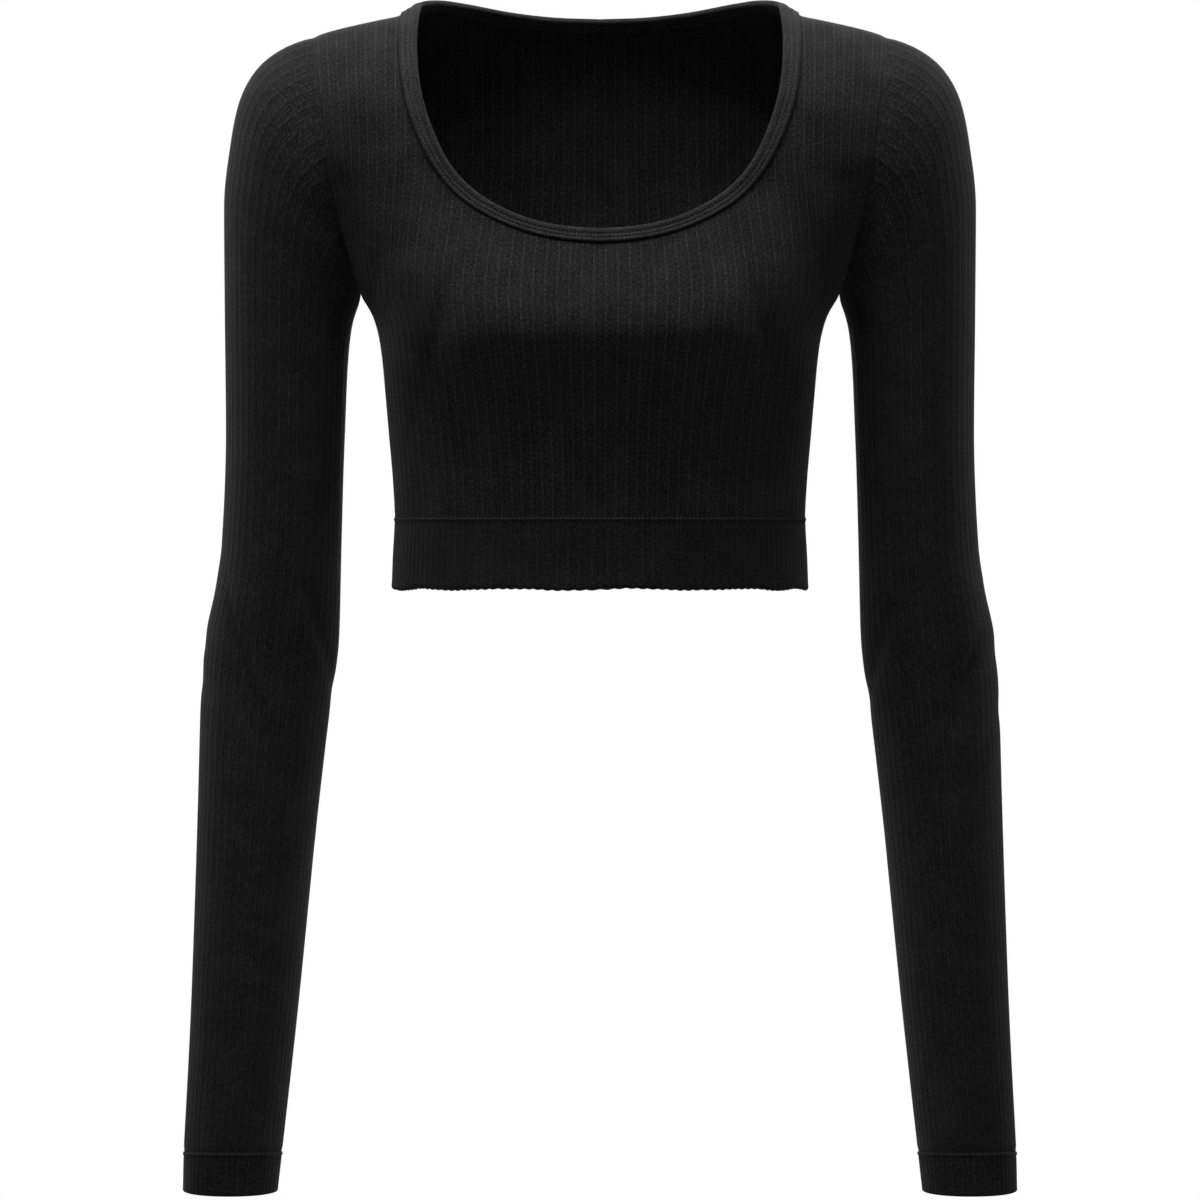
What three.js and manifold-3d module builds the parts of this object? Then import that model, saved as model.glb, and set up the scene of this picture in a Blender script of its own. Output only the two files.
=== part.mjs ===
// A long-sleeved crop top in ribbed knit, filled out as if it were worn.
// Millimetres, +Z up, and the front faces -Y. The origin is between the shoulders, level with the
// points where the shoulder seams meet the neck.

import * as THREE from 'three';
import { mergeVertices } from 'three/addons/utils/BufferGeometryUtils.js';
import Module from 'manifold-3d';

const wasm = await Module();
wasm.setup();

// Cloth
const seamGap = 0.3;
const clothWall = 1.3;
const ribHeight = 0.5;
const outerPerInner = 4;
const mitreLimit = 0.5;

// Body panels
const panelRibs = 54;
const sectionPower = 2.3;
const roundingPower = 2.2;
const roundingStart = -60;
const panelBottom = -273.85;
const underarm = -154.4;
const bodyRows = [panelBottom, -235, -203, -178, underarm, -150, -141, -125, -101, -78, roundingStart];
const shoulderRows = [0.42, 0.72, 0.92, 1];
const bust = { fullness: 15, outFrom: 66, across: 36, bridge: 0.78, height: -172, above: 36, below: 24 };

// Bands
const bandHeights = { top: panelBottom - seamGap, ridge: -275.6, under: -277.4, hem: -312.7 };
const bandRibs = 96;
const bandOut = 0.4;
const bandWall = 2;
const ridgeHeight = 1;
const hemWave = { height: 0.8, count: 11 };
const cuffRibs = 40;
const cuffHeights = { top: -618.15, ridge: -619.2, under: -620.6, hem: -637 };
const cuffWall = 1.8;
const cuffFrontDrop = 2.4;

// Sleeves
const sleeveRibs = 40;
const sleevePower = 2.1;

// Neck binding
const neckStations = 64;
const neckFrontExtra = 6;
const neckCurveSteps = 600;
const bindingOut = 1.3;
const bindingIn = 1.4;
const bindingCrown = 0.35;
const bindingRoll = 1.2;
const bindingGap = 0.5;
const plug = { reach: 6, outerTip: [0, -150, 150], innerTip: [0, 0, -60] };

// Half-width and depths of the trunk by height, with the shoulders' virtual width above the underarm
const trunk = [
  { z: -313, half: 112.3, front: 84, back: 84 },
  { z: -297, half: 111.8, front: 82.6, back: 83.2 },
  { z: -274, half: 110.8, front: 82, back: 83 },
  { z: -254, half: 111.8, front: 83, back: 84 },
  { z: -232, half: 113.7, front: 86, back: 86 },
  { z: -210, half: 115.6, front: 90, back: 88.5 },
  { z: -189, half: 117.5, front: 92, back: 91 },
  { z: -178, half: 119.1, front: 92, back: 92 },
  { z: -167, half: 122, front: 91.5, back: 93 },
  { z: underarm, half: 129.1, front: 90.5, back: 94 },
  { z: -148, half: 133.5, front: 90, back: 94.3 },
  { z: -140, half: 139.6, front: 89, back: 94.5 },
  { z: -119, half: 156, front: 85, back: 94 },
  { z: -97, half: 177, front: 79, back: 92 },
  { z: -76, half: 200, front: 74, back: 88.5 },
  { z: -54, half: 206, front: 69, back: 84.5 },
  { z: -30, half: 206, front: 65, back: 81 },
  { z: 0, half: 206, front: 62, back: 78 },
  { z: 30, half: 206, front: 60, back: 76 },
];

// How far out the armhole seam runs, by height
const armhole = [
  { z: underarm, x: 129.1 },
  { z: -142, x: 132.7 },
  { z: -121.6, x: 138.4 },
  { z: -100.7, x: 143.5 },
  { z: -79.6, x: 147.6 },
  { z: -58, x: 150.3 },
  { z: -41.4, x: 152.4 },
  { z: -23.8, x: 153.9 },
  { z: -14.6, x: 154.4 },
];

// Height of the shoulder line by distance from the middle, carried on over the neck opening
const shoulder = [
  { x: 0, z: 25 },
  { x: 25, z: 24 },
  { x: 49, z: 20 },
  { x: 66, z: 15 },
  { x: 74, z: 12 },
  { x: 83, z: 8 },
  { x: 90, z: 5.6 },
  { x: 96.6, z: 3 },
  { x: 102, z: 0.1 },
  { x: 107.4, z: -2.9 },
  { x: 118.8, z: -5.4 },
  { x: 129.1, z: -7.6 },
  { x: 138.2, z: -9.7 },
  { x: 146.9, z: -12 },
  { x: 154.4, z: -14.6 },
];

// Neck seam and finished edge in pairs, from the middle out to the shoulder seam
const frontNeck = [
  { seamX: 0, seamZ: -127.4, edgeX: 0, edgeZ: -119.7 },
  { seamX: 18, seamZ: -126.2, edgeX: 17, edgeZ: -118.6 },
  { seamX: 36, seamZ: -122.8, edgeX: 34, edgeZ: -115.4 },
  { seamX: 54, seamZ: -116.2, edgeX: 50.5, edgeZ: -109.2 },
  { seamX: 73.5, seamZ: -104.6, edgeX: 68.3, edgeZ: -98 },
  { seamX: 87.2, seamZ: -89.8, edgeX: 80.8, edgeZ: -84 },
  { seamX: 98.6, seamZ: -68.8, edgeX: 90, edgeZ: -65 },
  { seamX: 105.6, seamZ: -46.5, edgeX: 96, edgeZ: -44.8 },
  { seamX: 108, seamZ: -25, edgeX: 98.2, edgeZ: -24.6 },
  { seamX: 108, seamZ: -12, edgeX: 98.1, edgeZ: -10 },
  { seamX: 107.4, seamZ: -2.9, edgeX: 96.6, edgeZ: 3 },
];
const backNeck = [
  { seamX: 0, seamZ: -10.8, edgeX: 0, edgeZ: -3.4 },
  { seamX: 25, seamZ: -9.7, edgeX: 24, edgeZ: -2.6 },
  { seamX: 49, seamZ: -7, edgeX: 46, edgeZ: -0.4 },
  { seamX: 66, seamZ: -3.8, edgeX: 61, edgeZ: 2 },
  { seamX: 75, seamZ: -1.4, edgeX: 69, edgeZ: 3.3 },
  { seamX: 84, seamZ: 0.6, edgeX: 77, edgeZ: 4.3 },
  { seamX: 92, seamZ: 1.4, edgeX: 84, edgeZ: 4.8 },
  { seamX: 101, seamZ: -0.2, edgeX: 91.5, edgeZ: 4.5 },
  { seamX: 107.4, seamZ: -2.9, edgeX: 96.6, edgeZ: 3 },
];

// Sleeve rings from the armhole to the cuff: the inner and outer ends of each ring seen from the
// front, its half depth and middle in Y, how much of the armhole's bow is left, and its soft folds
const sleeveRings = [
  { innerX: 129.1, innerZ: -154.4, outerX: 154.4, outerZ: -14.6, deep: 50, midY: 0, bow: 1, fold: 0 },
  { innerX: 130.3, innerZ: -159, outerX: 168, outerZ: -19.4, deep: 50, midY: 0, bow: 0.75, fold: 0 },
  { innerX: 132.2, innerZ: -164.5, outerX: 183.4, outerZ: -30, deep: 49, midY: 0, bow: 0.5, fold: 0 },
  { innerX: 133.9, innerZ: -171, outerX: 194.4, outerZ: -48.6, deep: 47.5, midY: 0.5, bow: 0.3, fold: 0 },
  { innerX: 135.2, innerZ: -180, outerX: 199.7, outerZ: -74, deep: 46, midY: 1, bow: 0.15, fold: 0 },
  { innerX: 136.4, innerZ: -195, outerX: 203, outerZ: -108, deep: 44.5, midY: 2, bow: 0, fold: 0 },
  { innerX: 137.5, innerZ: -221, outerX: 202.6, outerZ: -165, deep: 42.6, midY: 3, bow: 0, fold: 0 },
  { innerX: 138.6, innerZ: -250, outerX: 202, outerZ: -228, deep: 41, midY: 3.8, bow: 0, fold: 0 },
  { innerX: 139.7, innerZ: -290, outerX: 204.3, outerZ: -288, deep: 39.5, midY: 4.5, bow: 0, fold: 0 },
  { innerX: 140.9, innerZ: -338, outerX: 213, outerZ: -338, deep: 38.4, midY: 5, bow: 0, fold: 0.9 },
  { innerX: 142.5, innerZ: -355, outerX: 214.6, outerZ: -355, deep: 37.7, midY: 5, bow: 0, fold: -1.4 },
  { innerX: 145.5, innerZ: -375, outerX: 215.7, outerZ: -375, deep: 36.9, midY: 4, bow: 0, fold: 0.7 },
  { innerX: 152, innerZ: -430, outerX: 217.1, outerZ: -430, deep: 34.2, midY: -1, bow: 0, fold: 0 },
  { innerX: 163, innerZ: -540, outerX: 220.6, outerZ: -540, deep: 28, midY: -13, bow: 0, fold: 0 },
  { innerX: 171.3, innerZ: -617.85, outerX: 224.3, outerZ: -617.85, deep: 23.2, midY: -21.5, bow: 0, fold: 0 },
];

// Cuff rings continue the sleeve's last one
const cuffEnd = { innerX: 173.8, outerX: 224.6, deep: 22.4, midY: -23 };

const pieces = [
  { name: 'front', color: 0x1a1a1d },
  { name: 'back', color: 0x161619 },
  { name: 'sleeve_left', color: 0x19191c },
  { name: 'sleeve_right', color: 0x19191c },
  { name: 'cuff_left', color: 0x141417 },
  { name: 'cuff_right', color: 0x141417 },
  { name: 'waistband', color: 0x141417 },
  { name: 'neck_binding', color: 0x2a2a2e },
];
const clothRoughness = 0.9;

const tinyStep = 1e-3;

// Reads one column of a table with a smooth curve through its rows that never overshoots them
function read(rows, key, column, at) {
  const last = rows.length - 1;
  if (at <= rows[0][key]) return rows[0][column];
  if (at >= rows[last][key]) return rows[last][column];
  let i = 0;
  while (rows[i + 1][key] < at) i += 1;
  const width = rows[i + 1][key] - rows[i][key];
  const rise = (k) => {
    if (k < 0 || k >= last) return null;
    return (rows[k + 1][column] - rows[k][column]) / (rows[k + 1][key] - rows[k][key]);
  };
  const slope = (k) => {
    const before = rise(k - 1);
    const after = rise(k);
    if (before === null) return after;
    if (after === null) return before;
    return before * after <= 0 ? 0 : (2 * before * after) / (before + after);
  };
  const t = (at - rows[i][key]) / width;
  const start = rows[i][column];
  const end = rows[i + 1][column];
  const ease = t * t * (3 - 2 * t);
  const leave = t * (1 - t) * (1 - t) * width * slope(i);
  const arrive = t * t * (1 - t) * width * slope(i + 1);
  return start + (end - start) * ease + leave - arrive;
}

const shoulderHeight = (x) => read(shoulder, 'x', 'z', Math.abs(x));
const power = (value, exponent) => Math.sign(value) * Math.abs(value) ** exponent;

// How much the bust adds to the front's depth: two lobes with the cloth bridged between them
function bustAt(x, z) {
  const out = Math.abs(x) - bust.outFrom;
  const lobe = Math.exp(-((out / bust.across) ** 2));
  const across = out < 0 ? Math.max(lobe, bust.bridge + (1 - bust.bridge) * lobe) : lobe;
  const spread = z > bust.height ? bust.above : bust.below;
  return bust.fullness * across * Math.exp(-(((z - bust.height) / spread) ** 2));
}

// Distance of the cloth from the side plane, at a place seen from the front
function depthAt(side, x, z) {
  const half = read(trunk, 'z', 'half', z);
  const straight = read(trunk, 'z', side < 0 ? 'front' : 'back', z) + (side < 0 ? bustAt(x, z) : 0);
  const share = Math.min(1, Math.abs(x) / half);
  const section = (1 - share ** sectionPower) ** (1 / sectionPower);
  const rise = (z - roundingStart) / (shoulderHeight(x) - roundingStart);
  const clamped = Math.min(1, Math.max(0, rise));
  return straight * section * (1 - clamped ** roundingPower) ** (1 / roundingPower);
}

// A point of the front (side -1) or back (side 1); s runs from -1 to 1 across it
function bodyPoint(side, s, z) {
  const half = read(trunk, 'z', 'half', z);
  const edge = z <= underarm ? half : read(armhole, 'z', 'x', z);
  const edgeAngle = Math.asin(Math.min(1, (edge / half) ** (sectionPower / 2)));
  const x = half * power(Math.sin(s * edgeAngle), 2 / sectionPower);
  return new THREE.Vector3(x, side * depthAt(side, x, z), z);
}

// Height of a row at s: level rows first, then shares of the way to the shoulder line
function rowHeight(side, s, row) {
  if (row < bodyRows.length) return bodyRows[row];
  let top = 0;
  for (let i = 0; i < 30; i += 1) top = shoulderHeight(bodyPoint(side, s, top).x);
  return roundingStart + (top - roundingStart) * shoulderRows[row - bodyRows.length];
}

function bodyNormal(side, s, row) {
  const low = Math.max(-1, s - tinyStep);
  const high = Math.min(1, s + tinyStep);
  const across = bodyPoint(side, high, rowHeight(side, high, row))
    .sub(bodyPoint(side, low, rowHeight(side, low, row)));
  const z = rowHeight(side, s, row);
  const along = bodyPoint(side, s, z).sub(bodyPoint(side, s, z - tinyStep));
  return across.cross(along).multiplyScalar(-side).normalize();
}

function ringMiddle(ring) {
  return new THREE.Vector3((ring.innerX + ring.outerX) / 2, ring.midY, (ring.innerZ + ring.outerZ) / 2);
}

// A ring of the sleeve on the wearer's left as a plain oval; angle 0 is the underarm, 90 degrees
// the front and 180 the outer side
function ovalPoint(ring, angle) {
  const shareOut = (1 - power(Math.cos(angle), 2 / sleevePower)) / 2;
  const y = ring.midY - ring.deep * power(Math.sin(angle), 2 / sleevePower);
  const x = ring.innerX + (ring.outerX - ring.innerX) * shareOut;
  return new THREE.Vector3(x, y, ring.innerZ + (ring.outerZ - ring.innerZ) * shareOut);
}

// The armhole seam as a list of corners for one side of the body, from the underarm to the
// shoulder: each has its point, the shared normal, the way across the seam and the wall's mitre
function armholeCorners(side) {
  const rows = bodyRows.length + shoulderRows.length;
  const first = bodyRows.indexOf(underarm);
  const point = (row) => bodyPoint(side, 1, rowHeight(side, 1, row));
  const across = (row) => point(row).multiply(new THREE.Vector3(1, -1, 1));
  const corners = [];
  for (let row = first; row < rows; row += 1) {
    const here = point(row);
    const before = row === first ? across(row + 1).setX(here.x) : point(row - 1);
    const after = row === rows - 1 ? across(row - 1).setX(here.x) : point(row + 1);
    const along = after.sub(before).normalize();
    const share = (here.z - underarm) / (sleeveRings[0].outerZ - underarm);
    const angle = Math.acos(1 - 2 * share);
    corners.push({ row, share, here, along, angle: side < 0 ? angle : 2 * Math.PI - angle });
  }
  const [start, next] = sleeveRings;
  const middle = ringMiddle(start);
  for (const corner of corners) {
    const bow = corner.here.clone().sub(ovalPoint(start, corner.angle)).multiplyScalar(next.bow);
    const onward = ovalPoint(next, corner.angle).add(bow).sub(corner.here);
    const sleeveNormal = corner.along.clone().cross(onward).normalize();
    if (sleeveNormal.dot(corner.here.clone().sub(middle)) < 0) sleeveNormal.negate();
    const panelNormal = bodyNormal(side, 1, corner.row);
    corner.normal = panelNormal.clone().add(sleeveNormal).normalize();
    if (corner === corners[0] || corner === corners[corners.length - 1]) corner.normal.setY(0).normalize();
    corner.over = corner.normal.clone().cross(corner.along).normalize();
    if (corner.over.dot(onward) < 0) corner.over.negate();
    corner.mitre = clothWall / Math.max(mitreLimit, corner.normal.dot(panelNormal));
  }
  return corners;
}

const seamCorners = { front: armholeCorners(-1), back: armholeCorners(1) };

// The seam at one angle round the sleeve, on the straight lines between its corners
function armholeAt(angle) {
  const corners = angle <= Math.PI ? seamCorners.front : seamCorners.back;
  const share = (1 - Math.cos(angle)) / 2;
  let i = 0;
  while (i < corners.length - 2 && corners[i + 1].share < share) i += 1;
  const [a, b] = [corners[i], corners[i + 1]];
  const t = Math.min(1, Math.max(0, (share - a.share) / (b.share - a.share)));
  return {
    here: a.here.clone().lerp(b.here, t),
    normal: a.normal.clone().lerp(b.normal, t).normalize(),
    over: a.over.clone().lerp(b.over, t).normalize(),
    mitre: a.mitre + (b.mitre - a.mitre) * t,
  };
}

// Turns an outer and an inner grid of points into one closed wall. Every inner column faces
// outerPerInner outer ones, and a closed wall runs round without side edges.
function wall(outer, inner, closedRound) {
  const positions = [];
  const place = (grid) => grid.map((row) => row.map((point) => {
    positions.push(point.x, point.y, point.z);
    return positions.length / 3 - 1;
  }));
  const out = place(outer);
  const into = place(inner);
  if (closedRound) {
    for (const row of [...out, ...into]) row.push(row[0]);
  }
  const index = [];
  const skin = (grid, flip) => {
    for (let r = 0; r < grid.length - 1; r += 1) {
      for (let c = 0; c < grid[r].length - 1; c += 1) {
        const [a, b, d, e] = [grid[r][c], grid[r][c + 1], grid[r + 1][c], grid[r + 1][c + 1]];
        if (flip) index.push(a, d, b, b, d, e);
        else index.push(a, b, d, b, e, d);
      }
    }
  };
  skin(out, false);
  skin(into, true);
  const rim = (outRow, inRow, flip) => {
    const add = (a, b, c) => (flip ? index.push(a, c, b) : index.push(a, b, c));
    for (let j = 0; j < inRow.length - 1; j += 1) {
      const first = j * outerPerInner;
      const half = first + outerPerInner / 2;
      for (let c = first; c < first + outerPerInner; c += 1) {
        add(inRow[c < half ? j : j + 1], outRow[c + 1], outRow[c]);
      }
      add(inRow[j], inRow[j + 1], outRow[half]);
    }
  };
  rim(out[0], into[0], false);
  rim(out[out.length - 1], into[into.length - 1], true);
  if (!closedRound) {
    for (let r = 0; r < out.length - 1; r += 1) {
      const ends = [[0, 0, false], [out[r].length - 1, into[r].length - 1, true]];
      for (const [o, i, flip] of ends) {
        const [a, b, d, e] = [out[r][o], out[r + 1][o], into[r][i], into[r + 1][i]];
        if (flip) index.push(a, d, b, b, d, e);
        else index.push(a, b, d, b, e, d);
      }
    }
  }
  const geometry = new THREE.BufferGeometry();
  geometry.setAttribute('position', new THREE.Float32BufferAttribute(positions, 3));
  geometry.setIndex(index);
  return facingOut(geometry);
}

// Six times the volume that a closed mesh holds, less than nothing when its faces look inwards
function signedVolume(geometry) {
  const position = geometry.getAttribute('position');
  const [a, b, c] = [new THREE.Vector3(), new THREE.Vector3(), new THREE.Vector3()];
  let sum = 0;
  for (let i = 0; i < geometry.index.count; i += 3) {
    a.fromBufferAttribute(position, geometry.index.getX(i));
    b.fromBufferAttribute(position, geometry.index.getX(i + 1));
    c.fromBufferAttribute(position, geometry.index.getX(i + 2));
    sum += a.dot(b.cross(c));
  }
  return sum;
}

function facingOut(geometry) {
  if (signedVolume(geometry) < 0) {
    const index = geometry.index.array;
    for (let i = 0; i < index.length; i += 3) [index[i + 1], index[i + 2]] = [index[i + 2], index[i + 1]];
  }
  return geometry;
}

// The inner grid of a wall: every so many outer columns, moved in along each point's own way in
function innerGrid(base, ways) {
  return base.map((row, r) => row.filter((_, c) => c % outerPerInner === 0)
    .map((point, j) => point.clone().add(ways[r][j * outerPerInner])));
}

// A body panel before the neck is cut: rows of ribbed cloth from the waistband to the shoulder
function panel(side) {
  const rows = bodyRows.length + shoulderRows.length;
  const columns = panelRibs * 2;
  const corners = side < 0 ? seamCorners.front : seamCorners.back;
  const outer = [];
  const base = [];
  const ways = [];
  for (let row = 0; row < rows; row += 1) {
    const outerRow = [];
    const baseRow = [];
    const wayRow = [];
    for (let c = 0; c <= columns; c += 1) {
      const s = (2 * c) / columns - 1;
      const point = bodyPoint(side, s, rowHeight(side, s, row));
      const normal = bodyNormal(side, s, row);
      const way = normal.clone().multiplyScalar(-clothWall);
      const atSide = c === 0 || c === columns;
      const corner = corners.find((one) => one.row === row);
      const mirror = new THREE.Vector3(Math.sign(s), 1, 1);
      if ((atSide && row <= bodyRows.indexOf(underarm)) || row === rows - 1) {
        way.setY(0).setLength(clothWall);
        point.y += (side * seamGap) / 2;
      }
      if (atSide && corner) {
        point.addScaledVector(corner.over.clone().multiply(mirror), -seamGap / 2);
        way.copy(corner.normal).multiply(mirror).multiplyScalar(-corner.mitre);
      }
      const seamRow = row === 0 || row === rows - 1;
      const raised = c % 2 === 1 && !seamRow ? ribHeight : 0;
      baseRow.push(point);
      wayRow.push(way);
      outerRow.push(point.clone().addScaledVector(normal, raised));
    }
    outer.push(outerRow);
    base.push(baseRow);
    ways.push(wayRow);
  }
  return wall(outer, innerGrid(base, ways), false);
}

// Evenly spaced stations on the cloth along one half of the neck, from the middle outwards
function neckHalf(side, table, columnX, columnZ, count) {
  const rows = table.map((row, i) => ({ i, x: row[columnX], z: row[columnZ] }));
  const curve = new THREE.CatmullRomCurve3(rows.map((row) => new THREE.Vector3(row.x, 0, row.z)));
  const last = rows.length - 1;
  const dense = [];
  for (let k = 0; k <= neckCurveSteps; k += 1) {
    const point = curve.getPoint(k / neckCurveSteps);
    const atShoulder = k === neckCurveSteps;
    point.y = atShoulder ? 0 : side * depthAt(side, point.x, Math.min(point.z, shoulderHeight(point.x)));
    point.t = (k / neckCurveSteps) * last;
    dense.push(point);
  }
  const run = [0];
  for (let k = 1; k < dense.length; k += 1) run.push(run[k - 1] + dense[k].distanceTo(dense[k - 1]));
  const stations = [];
  for (let n = 0; n <= count; n += 1) {
    const target = (run[run.length - 1] * n) / count;
    let k = 0;
    while (k < run.length - 2 && run[k + 1] < target) k += 1;
    const t = (target - run[k]) / (run[k + 1] - run[k]);
    stations.push(dense[k].clone().lerp(dense[k + 1], t));
  }
  return stations;
}

const frontStations = neckStations / 4 + neckFrontExtra;
const backStations = neckStations / 4 - neckFrontExtra;
const neckHalves = (columnX, columnZ) => ({
  front: neckHalf(-1, frontNeck, columnX, columnZ, frontStations),
  back: neckHalf(1, backNeck, columnX, columnZ, backStations),
});
const mirrorPoint = (point) => new THREE.Vector3(-point.x, point.y, point.z);

// The whole loop of stations, from the middle of the front past the wearer's left shoulder
function neckLoop(halves) {
  const left = [...halves.front, ...halves.back.slice(0, -1).reverse()];
  return [...left, ...left.slice(1, -1).reverse().map(mirrorPoint)];
}

const seamHalves = neckHalves('seamX', 'seamZ');
const neckSeam = neckLoop(seamHalves);
const neckEdge = neckLoop(neckHalves('edgeX', 'edgeZ'));

function solidOf(geometry) {
  geometry.deleteAttribute('normal');
  geometry.deleteAttribute('uv');
  const merged = mergeVertices(geometry);
  return new wasm.Manifold(new wasm.Mesh({
    numProp: 3,
    vertProperties: merged.getAttribute('position').array,
    triVerts: new Uint32Array(merged.index.array),
  }));
}

// Each station of the neck seam with its way along the seam, into the opening and out of the cloth
const neckFrames = neckSeam.map((seam, i) => {
  const count = neckSeam.length;
  const along = neckSeam[(i + 1) % count].clone().sub(neckSeam[(i + count - 1) % count]).normalize();
  const inward = neckEdge[i].clone().sub(seam);
  inward.addScaledVector(along, -inward.dot(along)).normalize();
  const normal = along.clone().cross(inward).normalize();
  return { seam, edge: neckEdge[i], inward, normal };
});

// A plug that fills the neck opening, with its sides square to the cloth along the neck seam
function neckPlug() {
  const count = neckFrames.length;
  const positions = [];
  for (const way of [plug.reach, -plug.reach]) {
    for (const { seam, normal } of neckFrames) positions.push(...seam.clone().addScaledVector(normal, way));
  }
  positions.push(...plug.outerTip, ...plug.innerTip);
  const index = [];
  for (let i = 0; i < count; i += 1) {
    const next = (i + 1) % count;
    index.push(i, next, count + next, i, count + next, count + i);
    index.push(2 * count, next, i, 2 * count + 1, count + i, count + next);
  }
  const geometry = new THREE.BufferGeometry();
  geometry.setAttribute('position', new THREE.Float32BufferAttribute(positions, 3));
  geometry.setIndex(index);
  return facingOut(geometry);
}

// A panel with the neck opening cut out of it
function cutNeck(geometry) {
  const mesh = solidOf(geometry).subtract(solidOf(neckPlug())).getMesh();
  const result = new THREE.BufferGeometry();
  result.setAttribute('position', new THREE.Float32BufferAttribute(mesh.vertProperties, 3));
  result.setIndex(Array.from(mesh.triVerts));
  return result;
}

// The binding: a thick strip from just inside the neck seam to a rolled finished edge
function binding() {
  const rings = neckFrames.map(({ seam, edge, inward, normal }) => {
    const start = seam.clone().addScaledVector(inward, bindingGap);
    const rollShare = 1 - bindingRoll / start.distanceTo(edge);
    const at = (share, out) => start.clone().lerp(edge, share).addScaledVector(normal, out);
    return [
      at(0, bindingOut),
      at(rollShare, bindingOut + bindingCrown),
      at(1, bindingOut / 2),
      at(1, -bindingIn / 2),
      at(rollShare, -bindingIn - bindingCrown),
      at(0, -bindingIn),
    ];
  });
  return tube(rings);
}

// A closed tube through rings of points, joined end to end
function tube(rings) {
  const sides = rings[0].length;
  const positions = rings.flatMap((ring) => ring.flatMap((point) => [point.x, point.y, point.z]));
  const index = [];
  for (let i = 0; i < rings.length; i += 1) {
    const next = ((i + 1) % rings.length) * sides;
    for (let k = 0; k < sides; k += 1) {
      const turn = (k + 1) % sides;
      const [a, b, c, d] = [i * sides + k, i * sides + turn, next + k, next + turn];
      index.push(a, b, c, b, d, c);
    }
  }
  const geometry = new THREE.BufferGeometry();
  geometry.setAttribute('position', new THREE.Float32BufferAttribute(positions, 3));
  geometry.setIndex(index);
  return facingOut(geometry);
}

// A wall round closed rings of base points: each row has its own rib height, rise and wall, and
// the plain inner side leaves out the rows that it doesn't need
function ringWall(rows) {
  const count = rows[0].points.length;
  const normalAt = (r, c) => {
    const around = rows[r].points[(c + 1) % count].clone().sub(rows[r].points[(c + count - 1) % count]);
    const above = rows[Math.max(0, r - 1)].points[c];
    const below = rows[Math.min(rows.length - 1, r + 1)].points[c];
    return around.cross(below.clone().sub(above)).normalize();
  };
  const middle = new THREE.Vector3();
  for (const point of rows[0].points) middle.addScaledVector(point, 1 / count);
  const outwards = Math.sign(normalAt(0, 0).dot(rows[0].points[0].clone().sub(middle)));
  const outer = rows.map((row, r) => row.points.map((point, c) => {
    if (row.seam) return row.seam[c].out;
    const raised = row.rise + (c % 2 === 1 ? row.rib : 0);
    return point.clone().addScaledVector(normalAt(r, c), outwards * raised);
  }));
  const ways = rows.map((row, r) => row.points.map((point, c) => {
    if (row.seam) return row.seam[c].way;
    return normalAt(r, c).multiplyScalar(-outwards * row.depth);
  }));
  const kept = (_, r) => !rows[r].outerOnly;
  return wall(outer, innerGrid(rows.map((row) => row.points).filter(kept), ways.filter(kept)), true);
}

// The sleeve on the wearer's left
function sleeve() {
  const count = sleeveRibs * 2;
  const angles = Array.from({ length: count }, (_, c) => (2 * Math.PI * c) / count);
  const seam = angles.map(armholeAt);
  const start = sleeveRings[0];
  const rows = sleeveRings.map((ring, k) => {
    const middle = ringMiddle(ring);
    const points = angles.map((angle, c) => {
      const bow = seam[c].here.clone().sub(ovalPoint(start, angle)).multiplyScalar(ring.bow);
      const foldOut = ring.fold * Math.sin(angle) ** 2;
      const point = ovalPoint(ring, angle).add(bow);
      return point.addScaledVector(point.clone().sub(middle).normalize(), foldOut);
    });
    const atEnd = k === sleeveRings.length - 1;
    return { points, rib: atEnd ? 0 : ribHeight, rise: 0, depth: clothWall };
  });
  rows[0].points = seam.map((one) => one.here.clone().addScaledVector(one.over, seamGap / 2));
  rows[0].seam = seam.map((one, c) => ({
    out: rows[0].points[c].clone(),
    way: one.normal.clone().multiplyScalar(-one.mitre),
  }));
  return ringWall(rows);
}

// The cuff on the wearer's left: a ridge at its seam, then ribs down to the open hem
function cuff() {
  const count = cuffRibs * 2;
  const angles = Array.from({ length: count }, (_, c) => (2 * Math.PI * c) / count);
  const start = sleeveRings[sleeveRings.length - 1];
  const row = (z, rise, rib) => {
    const t = (z - cuffHeights.top) / (cuffHeights.hem - cuffHeights.top);
    const ring = { innerZ: z, outerZ: z };
    for (const column of Object.keys(cuffEnd)) {
      ring[column] = start[column] + (cuffEnd[column] - start[column]) * t;
    }
    const points = angles.map((angle) => {
      const point = ovalPoint(ring, angle);
      point.z -= cuffFrontDrop * t * Math.max(0, Math.sin(angle));
      return point;
    });
    return { points, rib, rise, depth: cuffWall };
  };
  return ringWall([
    row(cuffHeights.top, 0, 0),
    { ...row(cuffHeights.ridge, ridgeHeight, 0), outerOnly: true },
    { ...row(cuffHeights.under, 0, ribHeight), outerOnly: true },
    row(cuffHeights.hem, 0, ribHeight),
  ]);
}

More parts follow.
